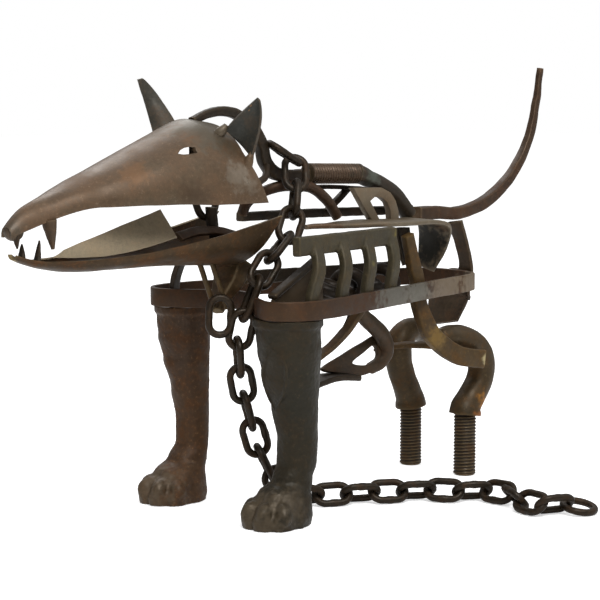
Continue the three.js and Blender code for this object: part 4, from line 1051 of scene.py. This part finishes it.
def outlineMesh(outline, middleY, thick, hole=None):
    # an upright plate cut to an outline in X and Z
    loops = [[Vector((x, z, 0)) for x, z in outline]]
    if hole:
        loops.append([Vector((x, z, 0)) for x, z in hole])
    flat = [p for loop in loops for p in loop]
    triangles = geometry.tessellate_polygon(loops)
    n = len(flat)
    verts = [Vector((p.x, middleY + side * thick / 2, p.y)) for side in (-1, 1) for p in flat]
    faces = []
    for a, b, c in triangles:
        p, q, r = flat[a], flat[b], flat[c]
        turn = (q.x - p.x) * (r.y - p.y) - (r.x - p.x) * (q.y - p.y)
        tri = (a, b, c) if turn > 0 else (a, c, b)
        faces.append(tri)
        faces.append(tuple(n + i for i in reversed(tri)))
    base = 0
    for number, loop in enumerate(loops):
        area = sum(a.x * b.y - b.x * a.y for a, b in zip(loop, loop[1:] + loop[:1]))
        outward = (area > 0) == (number == 0)
        for i in range(len(loop)):
            j = (i + 1) % len(loop)
            a, b = base + i, base + j
            faces.append((a, n + a, n + b, b) if outward else (a, b, n + b, n + a))
        base += len(loop)
    return verts, faces


def smoothOutline(points, count):
    return [(p.x, p.z) for p in splinePoints([(x, 0, z) for x, z in points], count, True)]


def placed(shape, turnZ=0.0, turnX=0.0, shift=(0, 0, 0)):
    verts, faces = shape
    return [turnedZ(turnedX(p, turnX), turnZ) + vec(shift) for p in verts], faces


shoulderFoot, shoulderHead = (-112, 142.8), (-68, 164.5)
shoulderWeb = outlineMesh([shoulderFoot, (shoulderFoot[0], hoopBottom + 2),
                           (shoulderHead[0] + 6, hoopBottom + 2), (shoulderHead[0] + 6, shoulderHead[1] + 2),
                           shoulderHead], 0, 2.4)
shoulderEdge = sweepMesh([(shoulderFoot[0], 0, shoulderFoot[1] + 2), (shoulderHead[0], 0, shoulderHead[1])],
                         barSection(7, 3.4, 1.2), 20)
addPiece("shoulderPlate", placed(joinMeshes([shoulderWeb, shoulderEdge]), math.radians(8), 0, (8, -38, 0)),
         "darkIron", "dark_iron", ["shoulder_plate"], bevel=0.4)

saddleOutline = [(10, 205.5), (37, 204.6), (45.5, 201), (50.5, 195.5), (53.5, 188), (54.5, 179), (46.5, 179),
                 (45.5, 189), (42.5, 194.5), (37, 198), (30, 198.5), (26, 196), (38, 179), (31, 179),
                 (20, 192.3)]
addPiece("saddleBracket", outlineMesh(saddleOutline, -9.7, 5), "plateIron", "tan_iron", ["saddle_bracket"],
         bevel=0.9)
addPiece("farBracket", joinMeshes([
    sweepMesh([(-5, 14, 205.5), (14, 14, 205), (34, 13, 203.5), (56, 7, 200.5)], barSection(6, 3, 1), 40),
    sweepMesh([(30, 13.5, 203), (22, 15, 196), (14, 17, 188.5)], barSection(5, 4, 1.2), 24)]),
    "darkIron", "dark_iron", ["far_bracket"], dents=0.25)
addSwept("farRail", [(-60, 24, 188), (-10, 22.5, 187.5), (40, 16, 187), (88, 9, 186.5)],
         barSection(6, 6, 1.3), 70, "darkIron", "dark_iron", ["far_rail"], dents=0.3)
addSwept("shoulderArch", [(-2, -9, backTop + 2.5), (-10, -8, 197.3), (-22, -5, 206.5), (-35, -2, 208.4),
                          (-46, 3, 207.6), (-54, 11, 203.5), (-58, 19, 197), (-58, 23, 190)],
         roundSection(3.6, 24), 90, "tailIron", "brown_rust", ["shoulder_arch"], dents=0.25, dentSize=0.1)
print("back made")

# rump and hips
rumpX = hoop["rear"] + hoop["thick"] + 1.8
rumpRoute = [(119, -5, backTop - 7), (124, -7, 162), (rumpX, -9, hoop["top"]), (rumpX, -1, hoopBottom + 1),
             (122.5, 2, 124), (117.5, 0, 114), (114, -2, 105)]
rumpWidths = [14, 12, 12, 13, 40, 34, 21]
addSwept("rumpStrap", rumpRoute, lambda t: barSection(steps(rumpWidths, t), 3, 1.1), 90, "rumpIron",
         "dark_iron", ["rump_strap"], dents=0.35, dentSize=0.07)


def hipSurface(u, v):
    turn = math.sin(math.pi * v)
    half = lerp(7, 5, u ** 2)
    return Vector((lerp(60, 66, u) + (v - 0.5) * 2 * half, -10 + 5 * turn * (1 - 0.5 * u),
                   lerp(backTop - 8, 150, u)))


addPiece("hipPlate", plateMesh(hipSurface, 40, 34, 2), "darkIron", "dark_iron", ["hip_plate"], bevel=0.4,
         dents=0.3)
thighThick = 6.4
thighSide = -(rearHooks["spread"] + rearHooks["radius"] * 1.04 + 0.3 + thighThick / 2)   # clear of the hook
thighRoute = [(37, -36, backTop - 10), (42, -36, 157), (46.5, -36, 143), (48.5, -36.5, 127),
              (51, thighSide, 115), (60, thighSide, 103.5), (71, thighSide, 95.5), (84, thighSide, 89),
              (97, thighSide, 85.5), (110, thighSide, 83.5)]
addSwept("nearThighBar", thighRoute, lambda t: barSection(thighThick, lerp(8, 13, min(1, t * 2)), 1.5), 110,
         "thighIron", "grey_olive", ["near_thigh_bar"], dents=0.35, dentSize=0.09)
addSwept("rearCrossBar", [(47, 3, 91.2), (60, 1, 93), (80, -8, 93), (96, -18, 91)],
         lambda t: barSection(lerp(4, 14, min(1, t * 2)), lerp(2, 5, t), 1), 50, "thighIron", "tan_iron",
         ["rear_cross_bar"], dents=0.3)

# under the skull
addSwept("jawLink", [(-117, 4, 244), (-117.5, 3, 215), (-117, 1, 200), (-113, 0, 192.5), (-106, 0, 191.5),
                     (-101, 1, 198), (-97, 3, 212), (-93, 6, 226)], roundSection(2.3, 18), 90, "darkIron",
         "dark_iron", ["jaw_link"], dents=0.2)
addSwept("jawKnob", [(-108.5, -4, 198), (-108.5, -4, 190), (-107.5, -6, 178), (-106, -3, 164.5)],
         lambda t: roundSection(lerp(4, 3, t), 20), 40, "darkIron", "dark_iron", ["jaw_knob"], dents=0.4,
         dentSize=0.2)
addSwept("throatWedge", [(-87, 0, 160.5), (-92, -2, 151), (-99, -3, 142), (-105, -4, 132)],
         lambda t: barSection(lerp(26, 9, t), lerp(14, 6, t), 2), 40, "jawIron", "brown_rust",
         ["throat_wedge"], dents=0.6, dentSize=0.1)
for number, offset in ((1, 0), (2, 5.5)):
    addSwept(f"throatRod{number}",
             [(-118 + offset, -3 - offset, 163.5), (-114 + offset, -5 - offset, 150),
              (-109 + offset, -7 - offset, 134)], roundSection(1.7, 14), 30, "hookIron", "tan_iron",
             [f"throat_rod_{number}"], across=Vector((1, 0, 0)), dents=0.2)
addSwept("farPost", [(-98, 46, hoopBottom + 1), (-97, 44.5, 150), (-96, 34, 168.2), (-96, 26.5, 179.2)],
         barSection(10, 3.4, 1), 40, "darkIron", "dark_iron", ["far_post"], across=Vector((1, 0.4, 0)),
         dents=0.25)

# below the hoop and inside it
addSwept("bellyHook", [(8, -16, hoopBottom - 1), (18, -14, 119), (30, -12, 111), (41, -10, 102.5),
                       (45.5, -9, 93), (41, -8, 85), (31, -8, 81.5)],
         lambda t: roundSection(lerp(4.2, 5.6, math.sin(math.pi * clamp(t))), 22), 80, "rumpIron",
         "brown_rust", ["belly_hook"], dents=0.3)
addSwept("bellyPlate", [(-3, -30, hoopBottom + 2), (-7, -28, 122), (-13, -26, 113)],
         lambda t: barSection(lerp(26, 5, t), 3, 1), 30, "darkIron", "dark_iron", ["belly_plate"],
         across=Vector((1, 0.3, 0.2)), dents=0.2)
addSwept("bellyBar", [(-8, -40, hoopBottom + 2), (-17, -36, 118), (-29, -31, 105), (-37, -26, 98)],
         barSection(8, 3.4, 1), 40, "jawIron", "brown_rust", ["belly_bar"], dents=0.25)
bellyOuter = smoothOutline([(-14, -1), (8, 7), (28, 13), (48, 17), (52, 7), (42, -4), (24, -9), (4, -6)], 72)
bellyHole = smoothOutline([(14, 0), (26, 5.5), (40, 10), (40, 3), (28, -2.5)], 48)
addPiece("bellyLink", placed(outlineMesh(bellyOuter, 0, 3.4, bellyHole), 0, -0.35, (-3, -9, 87)), "rumpIron",
         "grey_olive", ["belly_link"], bevel=0.7)
addSwept("bellySpoon", [(-42, -16, 74), (-26, -14, 79), (-8, -13, 80.5), (9, -14, 78.5)],
         lambda t: barSection(lerp(10, 18, math.sin(math.pi * t * 0.8)), 4, 1.5), 50, "darkIron", "dark_iron",
         ["belly_spoon"], dents=0.35)
addSwept("innerSideBar", [(-56, 22, hoop["top"] + 5.5), (10, 20, hoop["top"] + 4),
                          (84, 20, hoop["top"] + 2.5)], barSection(3, 9, 0.8), 60, "darkIron", "dark_iron",
         ["inner_side_bar"], dents=0.25)


def innerLinkMeshes():
    parts = []
    for i, (x, y, turn) in enumerate([(-14, -14, 0.5), (6, -12, 2.2), (24, -9, 0.3), (42, -8, 1.9)]):
        tip = 1.25 if i % 2 else 0.35
        verts = []
        for a in (2 * math.pi * k / 40 for k in range(40)):
            for c, s in roundSection(4, 16):
                p = Vector(((9.5 + c) * math.cos(a), (9.5 + c) * math.sin(a), s))
                verts.append(turnedZ(turnedX(p, tip), turn) + Vector((x, y, hoop["top"] - 2)))
        parts.append((verts, loftFaces(40, 16, True)))
    parts.append(sweepMesh([(-32, -14, hoopBottom + 6), (10, -12, hoopBottom + 5), (54, -8, hoopBottom + 6)],
                           roundSection(3.2, 16), 50))
    return parts


addPiece("innerLinks", joinMeshes(innerLinkMeshes()), "darkIron", "dark_iron", ["inner_links"], dents=0.3,
         dentSize=0.2)

print("all solids dressed:", len(made))

# floor, light, camera: what the camera sees of floor and sky is white,
# and what lights the iron is softer and comes from above
studio = {
    "floorHalf": 6, "floorColour": (0.9, 0.9, 0.9, 1), "floorRough": 0.95, "floorShine": 0.1,
    "floorGlow": 0.5,
    "skySpan": (-0.1, 0.9), "skyLow": 0.14, "skyTop": 1.0, "white": (1, 1, 1, 1),
    # place, target, size, power
    "lights": {
        "key": ((-0.6, -1.0, 1.5), (0, 0, 0.15), 0.7, 24.0),
        "fill": ((1.3, -0.9, 0.9), (0, 0, 0.15), 1.2, 4.0),
        "rim": ((0.4, 1.2, 1.4), (0, 0, 0.2), 0.8, 9.0),
    },
}
reach = studio["floorHalf"]
corners = [(-reach, -reach, 0), (reach, -reach, 0), (reach, reach, 0), (-reach, reach, 0)]
floor = newObject("floor", corners, [(0, 1, 2, 3)])
floorLook = bpy.data.materials.new("floorPaper")
floorLook.use_nodes = True
floorTree = floorLook.node_tree
floorShader = floorTree.nodes["Principled BSDF"]
floorShader.inputs["Base Color"].default_value = studio["floorColour"]
floorShader.inputs["Roughness"].default_value = studio["floorRough"]
floorShader.inputs["Specular IOR Level"].default_value = studio["floorShine"]
floorShader.inputs["Emission Color"].default_value = studio["white"]
floorSeen = addNode(floorTree, "ShaderNodeLightPath", "Is Camera Ray", {})
feed(floorTree, floorShader.inputs["Emission Strength"],
     calc(floorTree, "MULTIPLY", floorSeen, studio["floorGlow"]))
floor.data.materials.append(floorLook)

world = bpy.data.worlds.new("studio")
bpy.context.scene.world = world
world.use_nodes = True
sky = world.node_tree
skyPlain = sky.nodes["Background"]
skyPlain.inputs["Color"].default_value = studio["white"]
skyPlace = addNode(sky, "ShaderNodeTexCoord", "Generated", {})
skyHeight = addNode(sky, "ShaderNodeSeparateXYZ", "Z", {"Vector": skyPlace})
skyGlow = mapRange(sky, skyHeight, studio["skySpan"], (studio["skyLow"], studio["skyTop"]), "SMOOTHSTEP")
skySoft = addNode(sky, "ShaderNodeBackground", "Background", {"Strength": skyGlow})
skySeen = addNode(sky, "ShaderNodeLightPath", "Is Camera Ray", {})
skyShown = addNode(sky, "ShaderNodeMixShader", "Shader",
                   {"Fac": skySeen, 1: skySoft, 2: skyPlain.outputs["Background"]})
feed(sky, sky.nodes["World Output"].inputs["Surface"], skyShown)


def addLight(name, place, target, size, power):
    data = bpy.data.lights.new(name, "AREA")
    data.shape = "SQUARE"
    data.size = size
    data.energy = power
    lamp = bpy.data.objects.new(name, data)
    lamp.location = place
    lamp.rotation_euler = (vec(target) - vec(place)).to_track_quat("-Z", "Y").to_euler()
    bpy.context.scene.collection.objects.link(lamp)


for name, light in studio["lights"].items():
    addLight(name, *light)

view = {
    "turn": 43.76, "tilt": 6.63, "place": (-929.4, -941.5, 284.0),
    "focal": 1985.5, "picture": 600,   # pixels
    "sensor": 36, "near": 0.05, "far": 50,
}
cameraData = bpy.data.cameras.new("camera")
cameraData.lens = view["focal"] * view["sensor"] / view["picture"]
cameraData.sensor_width = view["sensor"]
cameraData.clip_start = view["near"]
cameraData.clip_end = view["far"]
camera = bpy.data.objects.new("camera", cameraData)
turn, tilt = math.radians(view["turn"]), math.radians(view["tilt"])
forward = Vector((math.sin(turn) * math.cos(tilt), math.cos(turn) * math.cos(tilt), -math.sin(tilt)))
camera.location = inFrame(view["place"])
camera.rotation_euler = forward.to_track_quat("-Z", "Y").to_euler()
bpy.context.scene.collection.objects.link(camera)
bpy.context.scene.camera = camera
bpy.context.scene.view_settings.view_transform = "Standard"
bpy.context.view_layer.update()
